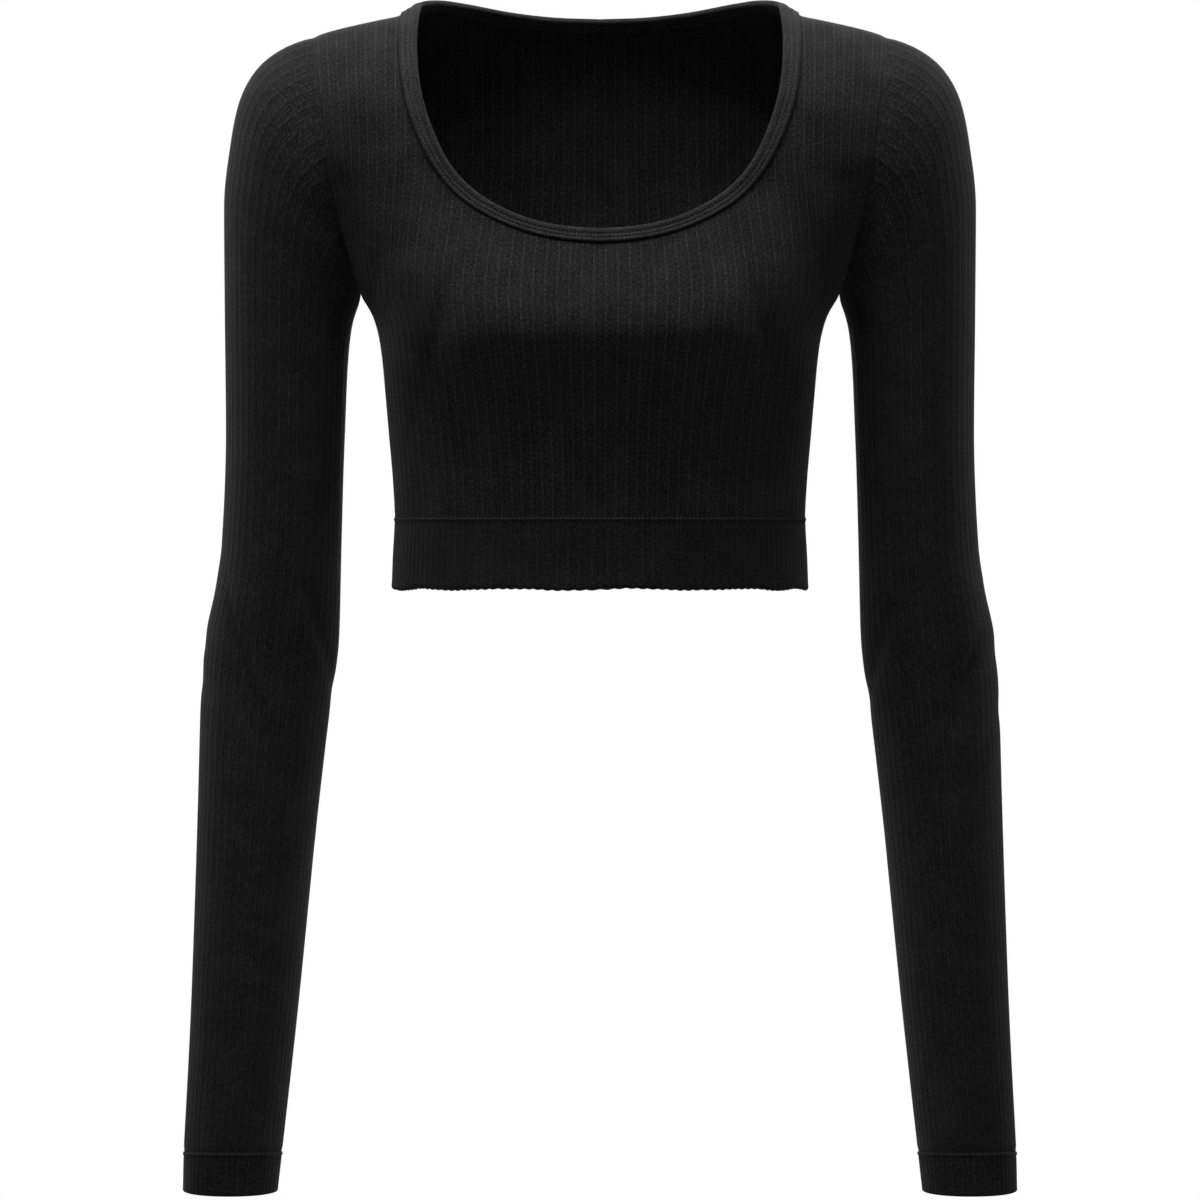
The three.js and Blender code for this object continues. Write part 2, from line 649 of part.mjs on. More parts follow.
// The waistband: a ridge at its seam, then ribs down to a hem that waves a little
function waistband() {
  const count = bandRibs * 2;
  const row = (z, rise, rib) => {
    const points = Array.from({ length: count }, (_, c) => {
      const turn = (2 * Math.PI * c) / count;
      const x = read(trunk, 'z', 'half', z) * power(Math.sin(turn), 2 / sectionPower);
      const deep = read(trunk, 'z', Math.cos(turn) > 0 ? 'front' : 'back', z);
      const y = -deep * power(Math.cos(turn), 2 / sectionPower);
      const wave = z === bandHeights.hem ? hemWave.height * Math.sin(hemWave.count * turn) : 0;
      return new THREE.Vector3(x, y, z + wave);
    });
    return { points, rib, rise: rise + bandOut, depth: bandWall - bandOut };
  };
  return ringWall([
    row(bandHeights.top, 0, 0),
    { ...row(bandHeights.ridge, ridgeHeight, 0), outerOnly: true },
    { ...row(bandHeights.under, 0, ribHeight), outerOnly: true },
    row(bandHeights.hem, 0, ribHeight),
  ]);
}

function mirrored(geometry) {
  return facingOut(geometry.clone().scale(-1, 1, 1));
}

const shapes = {
  front: () => cutNeck(panel(-1)),
  back: () => cutNeck(panel(1)),
  sleeve_left: sleeve,
  sleeve_right: () => mirrored(sleeve()),
  cuff_left: cuff,
  cuff_right: () => mirrored(cuff()),
  waistband,
  neck_binding: binding,
};

const cropTop = new THREE.Group();
for (const { name, color } of pieces) {
  const material = new THREE.MeshStandardMaterial({ color, roughness: clothRoughness, metalness: 0 });
  const mesh = new THREE.Mesh(shapes[name](), material);
  mesh.name = name;
  cropTop.add(mesh);
}

export default cropTop;
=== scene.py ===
import math

import bpy
import numpy as np
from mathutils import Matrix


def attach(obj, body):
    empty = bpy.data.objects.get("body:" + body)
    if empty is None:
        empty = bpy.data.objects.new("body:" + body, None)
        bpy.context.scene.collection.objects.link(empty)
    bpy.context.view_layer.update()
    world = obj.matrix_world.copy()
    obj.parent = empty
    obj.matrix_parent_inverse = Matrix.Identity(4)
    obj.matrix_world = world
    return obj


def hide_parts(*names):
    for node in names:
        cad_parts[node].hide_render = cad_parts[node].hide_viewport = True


# A long-sleeved crop top in ribbed knit. Shapes are worked out in millimetres and made in metres.

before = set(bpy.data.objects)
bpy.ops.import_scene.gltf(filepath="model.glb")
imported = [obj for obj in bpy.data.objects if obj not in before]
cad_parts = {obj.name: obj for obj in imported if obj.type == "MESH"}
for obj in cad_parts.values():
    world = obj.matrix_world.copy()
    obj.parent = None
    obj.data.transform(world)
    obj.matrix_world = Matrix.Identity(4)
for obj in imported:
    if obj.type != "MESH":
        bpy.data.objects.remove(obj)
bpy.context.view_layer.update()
MM = 0.001

# Camera
VIEW_MIDDLE = -0.3186
VIEW_WIDTH = 0.648
VIEW_DISTANCE = 10.0
SENSOR = 36.0

camera_data = bpy.data.cameras.new("camera")
camera_data.sensor_width = SENSOR
camera_data.lens = SENSOR * VIEW_DISTANCE / VIEW_WIDTH
camera = bpy.data.objects.new("camera", camera_data)
camera.location = (0.0, -VIEW_DISTANCE, VIEW_MIDDLE)
camera.rotation_euler = (math.radians(90), 0.0, 0.0)
bpy.context.scene.collection.objects.link(camera)
bpy.context.scene.camera = camera


# The top's sizes in millimetres, as in part.mjs: +x is the wearer's left, -y the front, +z up
def table(columns, *rows):
    """Rows of numbers as one array for each named column."""
    return {name: np.array([row[i] for row in rows], float) for i, name in enumerate(columns.split())}


SEAM_GAP = 0.1
SEAM_LAP = 0.05
SEAM_DIP = 0.45
SEAM_REACH = 2.0
RIB_FADE = 1.5
CLOTH_WALL = 1.3
SECTION_POWER = 2.3
ROUNDING_POWER = 2.2
ROUNDING_START = -60.0
PANEL_BOTTOM = -273.85
UNDERARM = -154.4
SLEEVE_POWER = 2.1
BUST = dict(fullness=15, out_from=66, across=36, bridge=0.78, height=-172, above=36, below=24)

trunk = table(
    "z half front back",
    (-313, 112.3, 84, 84),
    (-297, 111.8, 82.6, 83.2),
    (-274, 110.8, 82, 83),
    (-254, 111.8, 83, 84),
    (-232, 113.7, 86, 86),
    (-210, 115.6, 90, 88.5),
    (-189, 117.5, 92, 91),
    (-178, 119.1, 92, 92),
    (-167, 122, 91.5, 93),
    (UNDERARM, 129.1, 90.5, 94),
    (-148, 133.5, 90, 94.3),
    (-140, 139.6, 89, 94.5),
    (-119, 156, 85, 94),
    (-97, 177, 79, 92),
    (-76, 200, 74, 88.5),
    (-54, 206, 69, 84.5),
    (-30, 206, 65, 81),
    (0, 206, 62, 78),
    (30, 206, 60, 76),
)
armhole = table(
    "z x",
    (UNDERARM, 129.1),
    (-142, 132.7),
    (-121.6, 138.4),
    (-100.7, 143.5),
    (-79.6, 147.6),
    (-58, 150.3),
    (-41.4, 152.4),
    (-23.8, 153.9),
    (-14.6, 154.4),
)
shoulder = table(
    "x z",
    (0, 25),
    (25, 24),
    (49, 20),
    (66, 15),
    (74, 12),
    (83, 8),
    (90, 5.6),
    (96.6, 3),
    (102, 0.1),
    (107.4, -2.9),
    (118.8, -5.4),
    (129.1, -7.6),
    (138.2, -9.7),
    (146.9, -12),
    (154.4, -14.6),
)
front_neck = table(
    "seam_x seam_z edge_x edge_z",
    (0, -127.4, 0, -119.7),
    (18, -126.2, 17, -118.6),
    (36, -122.8, 34, -115.4),
    (54, -116.2, 50.5, -109.2),
    (73.5, -104.6, 68.3, -98),
    (87.2, -89.8, 80.8, -84),
    (98.6, -68.8, 90, -65),
    (105.6, -46.5, 96, -44.8),
    (108, -25, 98.2, -24.6),
    (108, -12, 98.1, -10),
    (107.4, -2.9, 96.6, 3),
)
back_neck = table(
    "seam_x seam_z edge_x edge_z",
    (0, -10.8, 0, -3.4),
    (25, -9.7, 24, -2.6),
    (49, -7, 46, -0.4),
    (66, -3.8, 61, 2),
    (75, -1.4, 69, 3.3),
    (84, 0.6, 77, 4.3),
    (92, 1.4, 84, 4.8),
    (101, -0.2, 91.5, 4.5),
    (107.4, -2.9, 96.6, 3),
)
sleeve_rings = table(
    "inner_x inner_z outer_x outer_z deep mid_y bow",
    (129.1, -154.4, 154.4, -14.6, 50, 0, 1),
    (130.3, -159, 168, -19.4, 50, 0, 0.75),
    (132.2, -164.5, 183.4, -30, 49, 0, 0.5),
    (133.9, -171, 194.4, -48.6, 47.5, 0.5, 0.3),
    (135.2, -180, 199.7, -74, 46, 1, 0.15),
    (136.4, -195, 203, -108, 44.5, 2, 0),
    (137.5, -221, 202.6, -165, 42.6, 3, 0),
    (138.6, -250, 202, -228, 41, 3.8, 0),
    (139.7, -290, 204.3, -288, 39.5, 4.5, 0),
    (140.9, -338, 213, -338, 38.4, 5, 0),
    (142.5, -355, 214.6, -355, 37.7, 5, 0),
    (145.5, -375, 215.7, -375, 36.9, 4, 0),
    (152, -430, 217.1, -430, 34.2, -1, 0),
    (163, -540, 220.6, -540, 28, -13, 0),
    (171.3, -615.45, 224.3, -615.45, 23.2, -21.5, 0),
)
CUFF_END = dict(inner_x=173.8, outer_x=224.6, deep=22.4, mid_y=-23)
ARMHOLE_MIDDLE = np.array([141.75, 0.0, -84.5])


def read(rows, key, column, at):
    """One column of a table, on a smooth curve through its rows that never overshoots them."""
    keys = rows[key]
    values = rows[column]
    rise = np.diff(values) / np.diff(keys)
    before = np.concatenate([rise[:1], rise])
    after = np.concatenate([rise, rise[-1:]])
    both = before * after
    total = np.where(both > 0, before + after, 1.0)
    slope = np.where(both > 0, 2 * both / total, 0.0)
    slope[0] = rise[0]
    slope[-1] = rise[-1]
    at = np.clip(at, keys[0], keys[-1])
    i = np.clip(np.searchsorted(keys, at, side="right") - 1, 0, len(keys) - 2)
    width = keys[i + 1] - keys[i]
    t = (at - keys[i]) / width
    ease = t * t * (3 - 2 * t)
    leave = t * (1 - t) ** 2 * width * slope[i]
    arrive = t * t * (1 - t) * width * slope[i + 1]
    return values[i] + (values[i + 1] - values[i]) * ease + leave - arrive


def power(value, exponent):
    """A power that keeps the sign of its value."""
    return np.sign(value) * np.abs(value) ** exponent


def unit(vectors):
    length = np.linalg.norm(vectors, axis=-1, keepdims=True)
    return vectors / np.maximum(length, 1e-9)


def smooth(t):
    """An even rise from 0 at 0 to 1 at 1."""
    t = np.clip(t, 0.0, 1.0)
    return t * t * (3 - 2 * t)


def shoulder_height(x):
    return read(shoulder, "x", "z", np.abs(x))


def bust_at(x, z):
    """How far the bust fills the front out beyond the plain trunk."""
    out = np.abs(x) - BUST["out_from"]
    lobe = np.exp(-((out / BUST["across"]) ** 2))
    bridged = np.maximum(lobe, BUST["bridge"] + (1 - BUST["bridge"]) * lobe)
    across = np.where(out < 0, bridged, lobe)
    spread = np.where(z > BUST["height"], BUST["above"], BUST["below"])
    return BUST["fullness"] * across * np.exp(-(((z - BUST["height"]) / spread) ** 2))


def depth_at(side, x, z):
    """How far the front (side -1) or back (side 1) lies from the middle, closing at the shoulder."""
    half = read(trunk, "z", "half", z)
    straight = read(trunk, "z", "front" if side < 0 else "back", z)
    if side < 0:
        straight = straight + bust_at(x, z)
    share = np.minimum(1.0, np.abs(x) / half)
    section = (1 - share ** SECTION_POWER) ** (1 / SECTION_POWER)
    rise = np.clip((z - ROUNDING_START) / (shoulder_height(x) - ROUNDING_START), 0, 1)
    return straight * section * (1 - rise ** ROUNDING_POWER) ** (1 / ROUNDING_POWER)


def body_x(s, z):
    """The place across a panel at a height, from -1 at its right edge to 1 at its left edge."""
    half = read(trunk, "z", "half", z)
    edge = np.where(z <= UNDERARM, half, read(armhole, "z", "x", z))
    angle = np.arcsin(np.minimum(1.0, (edge / half) ** (SECTION_POWER / 2)))
    return half * power(np.sin(s * angle), 2 / SECTION_POWER)


# Grids and shells
SHARP_EDGE = 60


def grid_normals(grid, closed):
    """Normals of a grid of points, from the ways across and along it."""
    if closed:
        across = np.roll(grid, -1, axis=1) - np.roll(grid, 1, axis=1)
    else:
        across = np.gradient(grid, axis=1)
    along = np.gradient(grid, axis=0)
    return unit(np.cross(across, along))


def shell(name, outer, inner, uv, closed, keep=None):
    """A closed wall between an outer and an inner grid. uv has one column more than a closed grid."""
    rows, columns = outer.shape[:2]
    count = rows * columns
    last = columns if closed else columns - 1
    r, c = np.meshgrid(np.arange(rows - 1), np.arange(last), indexing="ij")
    if keep is None:
        keep = np.ones(r.shape, bool)
    r = r[keep]
    c = c[keep]
    wide = uv.shape[1]
    after = (c + 1) % columns
    first = r * columns
    following = (r + 1) * columns
    faces = np.stack([first + c, first + after, following + after, following + c], 1)
    first = r * wide
    following = (r + 1) * wide
    places = np.stack([first + c, first + c + 1, following + c + 1, following + c], 1)
    start = faces.reshape(-1)
    end = np.roll(faces, -1, axis=1).reshape(-1)
    start_place = places.reshape(-1)
    end_place = np.roll(places, -1, axis=1).reshape(-1)
    edge = ~np.isin(end.astype(np.int64) * count + start, start.astype(np.int64) * count + end)
    rim = np.stack([end, start, start + count, end + count], 1)[edge]
    rim_places = np.stack([end_place, start_place, start_place, end_place], 1)[edge]
    quads = np.concatenate([faces, faces[:, ::-1] + count, rim])
    quad_places = np.concatenate([places, places[:, ::-1], rim_places])
    points = np.concatenate([outer.reshape(-1, 3), inner.reshape(-1, 3)])
    a, b, d, e = (points[quads[:, i]] for i in range(4))
    volume = np.sum(a * np.cross(b, d)) + np.sum(a * np.cross(d, e))
    if volume < 0:
        quads = quads[:, ::-1]
        quad_places = quad_places[:, ::-1]
    used, flat = np.unique(quads, return_inverse=True)
    mesh = bpy.data.meshes.new(name)
    mesh.from_pydata((points[used] * MM).tolist(), [], flat.reshape(-1, 4).tolist())
    layer = mesh.uv_layers.new(name="cloth")
    layer.data.foreach_set("uv", uv.reshape(-1, 2)[quad_places.reshape(-1)].astype(np.float32).reshape(-1))
    mesh.polygons.foreach_set("use_smooth", np.ones(len(mesh.polygons), bool))
    mesh.set_sharp_from_angle(angle=math.radians(SHARP_EDGE))
    mesh.update()
    piece = bpy.data.objects.new(name, mesh)
    bpy.context.scene.collection.objects.link(piece)
    return piece


def rib_columns(ribs, shares):
    """Columns of a grid counted in ribs, with each rib cut at the same shares."""
    return np.concatenate([k + np.array(shares) for k in range(ribs)])


def armhole_way(points):
    """The way out of the armhole's own middle, shared by both pieces at the armhole seam."""
    middle = ARMHOLE_MIDDLE * np.where(points[..., :1] < 0, (-1, 1, 1), (1, 1, 1))
    return unit(points - middle)


# How far apart the ribs lie above the underarm, as a share of their distance there
rib_spread = table(
    "z share",
    (-154.4, 1),
    (-141, 0.978),
    (-129, 0.948),
    (-105, 0.9),
    (-81, 0.872),
    (-55, 0.868),
    (0, 0.895),
)


CREASE_END = 0.35


def crease_depth(x, z, rows):
    """How far the creases push the cloth inwards. A row with side 0 is on both sides alike."""
    depth = np.zeros_like(x)
    for k in range(len(rows["width"])):
        from_x, from_z, to_x, to_z = (rows[name][k] for name in ("from_x", "from_z", "to_x", "to_z"))
        run_x = to_x - from_x
        run_z = to_z - from_z
        length2 = run_x ** 2 + run_z ** 2
        out = np.abs(x) if rows["side"][k] == 0 else x * rows["side"][k]
        t = np.clip(((out - from_x) * run_x + (z - from_z) * run_z) / length2, 0, 1)
        away2 = (out - from_x - t * run_x) ** 2 + (z - from_z - t * run_z) ** 2
        fade = CREASE_END + (1 - CREASE_END) * np.sin(math.pi * t)
        depth = depth + rows["depth"][k] * fade * np.exp(-away2 / rows["width"][k] ** 2)
    return depth


# Soft creases: a line from one place to another, its half width and its depth
front_creases = table(
    "side from_x from_z to_x to_z width depth",
    (0, 151, -106, 131, -142, 7, 3.2),
    (0, 140, -118, 127, -150, 14, 1.6),
    (-1, 126, -160, 96, -186, 8, 1.2),
    (1, 124, -162, 92, -190, 9, 1.0),
    (-1, 120, -176, 94, -194, 6, 0.7),
    (0, 114, -205, 84, -214, 9, 0.6),
    (-1, 84, -240, 40, -236, 19, 2.2),
    (1, 46, -240, 96, -248, 20, 2.2),
    (1, 106, -184, 100, -214, 7, 0.8),
)
back_creases = table(
    "side from_x from_z to_x to_z width depth",
    (0, 150, -104, 131, -146, 7, 2.0),
    (0, 124, -165, 92, -184, 8, 1.2),
    (0, 70, -196, 30, -204, 9, 1.0),
    (0, 112, -214, 70, -224, 8, 1.0),
    (-1, 94, -19, 42, -21, 5, 1.6),
    (-1, 88, -40, 60, -36, 8, -1.0),
    (1, 38, -26, 98, -25, 6, 1.3),
    (-1, 40, -64, 46, -106, 9, 1.6),
    (-1, 78, -58, 84, -90, 9, 1.4),
    (1, 62, -60, 54, -98, 10, 1.2),
)

# Broad forms of the filled-out front: the bust reaches round to the side, the chest above it is flatter
front_forms = table(
    "side from_x from_z to_x to_z width depth",
    (0, 126, -170, 88, -180, 42, -13),
    (0, 140, -84, 112, -96, 30, 2),
)
UNDERARM_FADE = 25.0
SIDE_FADE = 15.0


def form_depth(x, z, to_edge):
    """The broad forms, which fade out towards the side seams so that these stay closed."""
    at_armhole = smooth((z - UNDERARM) / UNDERARM_FADE)
    share = at_armhole + (1 - at_armhole) * smooth(to_edge / SIDE_FADE)
    return crease_depth(x, z, front_forms) * share


PANEL_RIBS = 56
PANEL_PITCH = 5.6
PANEL_STEP = 3.0
SHOULDER_ROWS = 26
WALE_SHARES = (0.0, 0.4, 0.5, 0.6)
WALE_HEIGHTS = (0.03, 0.0, 0.12, 0.0)
INNER_WALE = 0.6


# The neck: stations on the cloth in the middle of each half, then the whole loop
NECK_CURVE_STEPS = 600
NECK_BATCH = 4000
FRONT_STATIONS = 110
BACK_STATIONS = 50


def centripetal(points, steps):
    """A centripetal Catmull-Rom curve through points, steps + 1 places along it."""
    last = len(points) - 1
    before = np.vstack([2 * points[0] - points[1], points[:-1]])
    after = np.vstack([points[1:], 2 * points[-1] - points[-2]])
    at = np.linspace(0, last, steps + 1)
    i = np.minimum(at.astype(int), last - 1)
    t = (at - i)[:, None]
    p0, p1, p2, p3 = before[i], points[i], points[i + 1], after[i + 1]

    def gap(a, b):
        return np.maximum(np.sum((a - b) ** 2, axis=1, keepdims=True) ** 0.25, 1e-4)

    d0, d1, d2 = gap(p0, p1), gap(p1, p2), gap(p2, p3)
    leave = ((p1 - p0) / d0 - (p2 - p0) / (d0 + d1) + (p2 - p1) / d1) * d1
    arrive = ((p2 - p1) / d1 - (p3 - p1) / (d1 + d2) + (p3 - p2) / d2) * d1
    c2 = -3 * p1 + 3 * p2 - 2 * leave - arrive
    c3 = 2 * p1 - 2 * p2 + leave + arrive
    return p1 + leave * t + c2 * t ** 2 + c3 * t ** 3


def evenly(points, count):
    """The same curve with its points spaced evenly."""
    run = np.concatenate([[0], np.cumsum(np.linalg.norm(np.diff(points, axis=0), axis=1))])
    at = np.linspace(0, run[-1], count + 1)
    return np.stack([np.interp(at, run, points[:, k]) for k in range(3)], 1)


def neck_half(side, rows, column_x, column_z, count):
    """One quarter of the neck, from the middle of the front or back up to the shoulder seam."""
    curve = centripetal(np.stack([rows[column_x], rows[column_z]], 1), NECK_CURVE_STEPS)
    x, z = curve[:, 0], curve[:, 1]
    y = side * depth_at(side, x, np.minimum(z, shoulder_height(x)))
    y[-1] = 0
    return evenly(np.stack([x, y, z], 1), count)


def neck_loop(column_x, column_z):
    """The whole neck: from the middle of the front round the wearer's left to the back, then mirrored."""
    front_half = neck_half(-1, front_neck, column_x, column_z, FRONT_STATIONS)
    back_half = neck_half(1, back_neck, column_x, column_z, BACK_STATIONS)
    left = np.vstack([front_half, back_half[:-1][::-1]])
    return np.vstack([left, left[1:-1][::-1] * (-1, 1, 1)])


neck_seam = neck_loop("seam_x", "seam_z")
neck_edge = neck_loop("edge_x", "edge_z")
neck_along = unit(np.roll(neck_seam, -1, axis=0) - np.roll(neck_seam, 1, axis=0))
neck_inward = neck_edge - neck_seam
neck_inward = unit(neck_inward - neck_along * np.sum(neck_inward * neck_along, axis=1, keepdims=True))
neck_normal = unit(np.cross(neck_along, neck_inward))


def into_neck(points):
    """How far points of the cloth lie inside the neck seam, in millimetres."""
    flat = points.reshape(-1, 3)
    result = np.empty(len(flat))
    for start in range(0, len(flat), NECK_BATCH):
        part = flat[start:start + NECK_BATCH]
        away = np.sum((part[:, None, :] - neck_seam[None, :, :]) ** 2, axis=2)
        near = np.argmin(away, axis=1)
        result[start:start + NECK_BATCH] = np.sum((part - neck_seam[near]) * neck_inward[near], axis=1)
    return result.reshape(points.shape[:-1])


PANEL_UNDER_BINDING = 4.0
ROW_SAMPLES = 1601
TOP_ROUNDS = 40
EDGE_CROWDING = 5


def rib_places(side, phase, shares, level):
    """Where each rib lies in each row: even along the cloth, and crowded only near the armhole."""
    dense = np.linspace(-1, 1, ROW_SAMPLES)
    top = np.zeros_like(dense)
    for _ in range(TOP_ROUNDS):
        top = shoulder_height(body_x(dense, top))
    even = 2 * phase / PANEL_RIBS - 1
    rows_s = []
    rows_z = []
    for place in [("level", z) for z in level] + [("share", share) for share in shares]:
        if place[0] == "level":
            z = np.full_like(dense, place[1])
        else:
            z = ROUNDING_START + (top - ROUNDING_START) * place[1]
        x = body_x(dense, z)
        row = np.stack([x, side * depth_at(side, x, z), z], 1)
        run = np.concatenate([[0], np.cumsum(np.linalg.norm(np.diff(row, axis=0), axis=1))])
        height = place[1] if place[0] == "level" else ROUNDING_START * (1 - place[1])
        if height <= UNDERARM:
            widest = run[-1]
        natural = widest * float(read(rib_spread, "z", "share", np.array([height]))[0]) / run[-1]
        spread = natural * even - (natural - 1) * power(even, EDGE_CROWDING)
        s = np.interp((spread + 1) / 2 * run[-1], run, dense)
        rows_s.append(s)
        rows_z.append(np.interp(s, dense, z))
    return np.array(rows_s), np.array(rows_z)


def panel(name, side, creases):
    """The front or back: a grid of ribs on the trunk, cut out round the neck under the binding."""
    phase = np.append(rib_columns(PANEL_RIBS, WALE_SHARES), PANEL_RIBS)
    raised = np.append(np.tile(WALE_HEIGHTS, PANEL_RIBS), 0.0)
    steps = int((ROUNDING_START - PANEL_BOTTOM) / PANEL_STEP)
    level = np.linspace(PANEL_BOTTOM, ROUNDING_START, steps + 1)
    share = np.sin(np.linspace(0, math.pi / 2, SHOULDER_ROWS + 1))[1:] ** (2 / ROUNDING_POWER)
    s, z = rib_places(side, phase, share, level)
    x = body_x(s, z)
    base = np.stack([x, side * depth_at(side, x, z), z], 2)
    normal = grid_normals(base, False)
    normal = normal * np.sign(np.sum(normal * (0, side, 0), axis=2, keepdims=True) + 1e-6)
    below = z[:, 0] <= UNDERARM
    for column, way in ((0, -1), (-1, 1)):
        normal[below, column] = (way, 0, 0)
    normal[-1, :, 1] = 0
    normal[-1] = unit(normal[-1])
    base[-1, :, 1] -= side * SEAM_LAP
    base[below, 0, 1] -= side * SEAM_LAP
    base[below, -1, 1] -= side * SEAM_LAP
    across = np.linalg.norm(np.diff(base, axis=1), axis=2)
    from_left = np.hstack([np.zeros((len(z), 1)), np.cumsum(across, axis=1)])
    to_edge = np.minimum(from_left, from_left[:, -1:] - from_left)
    along = np.linalg.norm(np.diff(base, axis=0), axis=2)
    up = np.vstack([np.zeros((1, len(phase))), np.cumsum(along, axis=0)])
    to_seam = np.minimum(to_edge, up[-1:] - up)
    dip = SEAM_DIP * np.exp(-(to_seam / SEAM_REACH) ** 2)
    flat_end = smooth(to_seam / RIB_FADE) * smooth(up / RIB_FADE)
    at_armhole = ((to_edge <= up[-1:] - up) & (z > UNDERARM))[..., None]
    base = base - np.where(at_armhole, armhole_way(base), normal) * dip[..., None]
    base[..., 1] -= side * crease_depth(x, z, creases)
    if side < 0:
        base[..., 1] += form_depth(x, z, to_edge)
    wale = (raised[None, :] * flat_end)[..., None]
    outer = base + normal * wale
    inner = base - normal * (CLOTH_WALL + INNER_WALE * wale)
    uv = np.stack([np.repeat((phase * PANEL_PITCH * MM)[None, :], len(z), 0), up * MM], 2)
    middle = (base[:-1, :-1] + base[1:, :-1] + base[:-1, 1:] + base[1:, 1:]) / 4
    keep = into_neck(middle) < PANEL_UNDER_BINDING
    return shell(name, outer, inner, uv, False, keep)


# Sleeves
SLEEVE_RIBS = 44
SLEEVE_PITCH = 4.4
SLEEVE_STEP = 3.2
SLEEVE_SAMPLES = 1401
CUFF_SEAM_DIP = 0.27
ARMHOLE_FADE = 22.0

# Folds of a sleeve: where each lies round it and down it, its size, its tilt and its depth
left_sleeve_folds = table(
    "angle run width length tilt depth",
    (132, 330, 5, 22, 42, 2.0),
    (112, 330, 6, 24, -14, 0.9),
    (160, 384, 7, 22, 10, 0.8),
    (30, 214, 8, 28, -10, 1.2),
    (40, 30, 6, 22, 70, 1.4),
    (330, 36, 7, 24, -70, 1.4),
    (250, 312, 8, 34, -16, 1.4),
    (210, 360, 7, 28, 12, 0.9),
)
right_sleeve_folds = table(
    "angle run width length tilt depth",
    (112, 306, 4.5, 20, -12, 2.0),
    (114, 326, 4, 12, -8, 1.3),
    (158, 366, 7, 22, 16, 0.9),
    (34, 208, 8, 30, -14, 1.2),
    (44, 32, 6, 22, 66, 1.4),
    (328, 36, 7, 24, -70, 1.4),
    (244, 316, 8, 32, -12, 1.4),
    (214, 356, 7, 28, 16, 0.9),
)


def armhole_point(angle):
    """A place on the armhole, from the underarm (0) over the front to the shoulder (pi) and back."""
    share = (1 - np.cos(angle)) / 2
    z = UNDERARM + (sleeve_rings["outer_z"][0] - UNDERARM) * share
    x = read(armhole, "z", "x", z)
    y = np.where(angle <= math.pi, -depth_at(-1, x, z), depth_at(1, x, z))
    return np.stack([x, y, z], -1)


def oval(ring, angle):
    """A place round one section of the sleeve, with the same angles as the armhole."""
    share = (1 - power(np.cos(angle), 2 / SLEEVE_POWER)) / 2
    x = ring["inner_x"] + (ring["outer_x"] - ring["inner_x"]) * share
    y = ring["mid_y"] - ring["deep"] * power(np.sin(angle), 2 / SLEEVE_POWER)
    z = ring["inner_z"] + (ring["outer_z"] - ring["inner_z"]) * share
    return np.stack([x, y, z], -1)


def rings_at(at):
    index = np.arange(len(sleeve_rings["deep"]), dtype=float)
    rows = dict(sleeve_rings, index=index)
    return {name: read(rows, "index", name, at)[:, None] for name in sleeve_rings}


def sleeve_centres(rings):
    x = (rings["inner_x"] + rings["outer_x"]) / 2
    z = (rings["inner_z"] + rings["outer_z"]) / 2
    return np.stack([x, rings["mid_y"], z], -1)


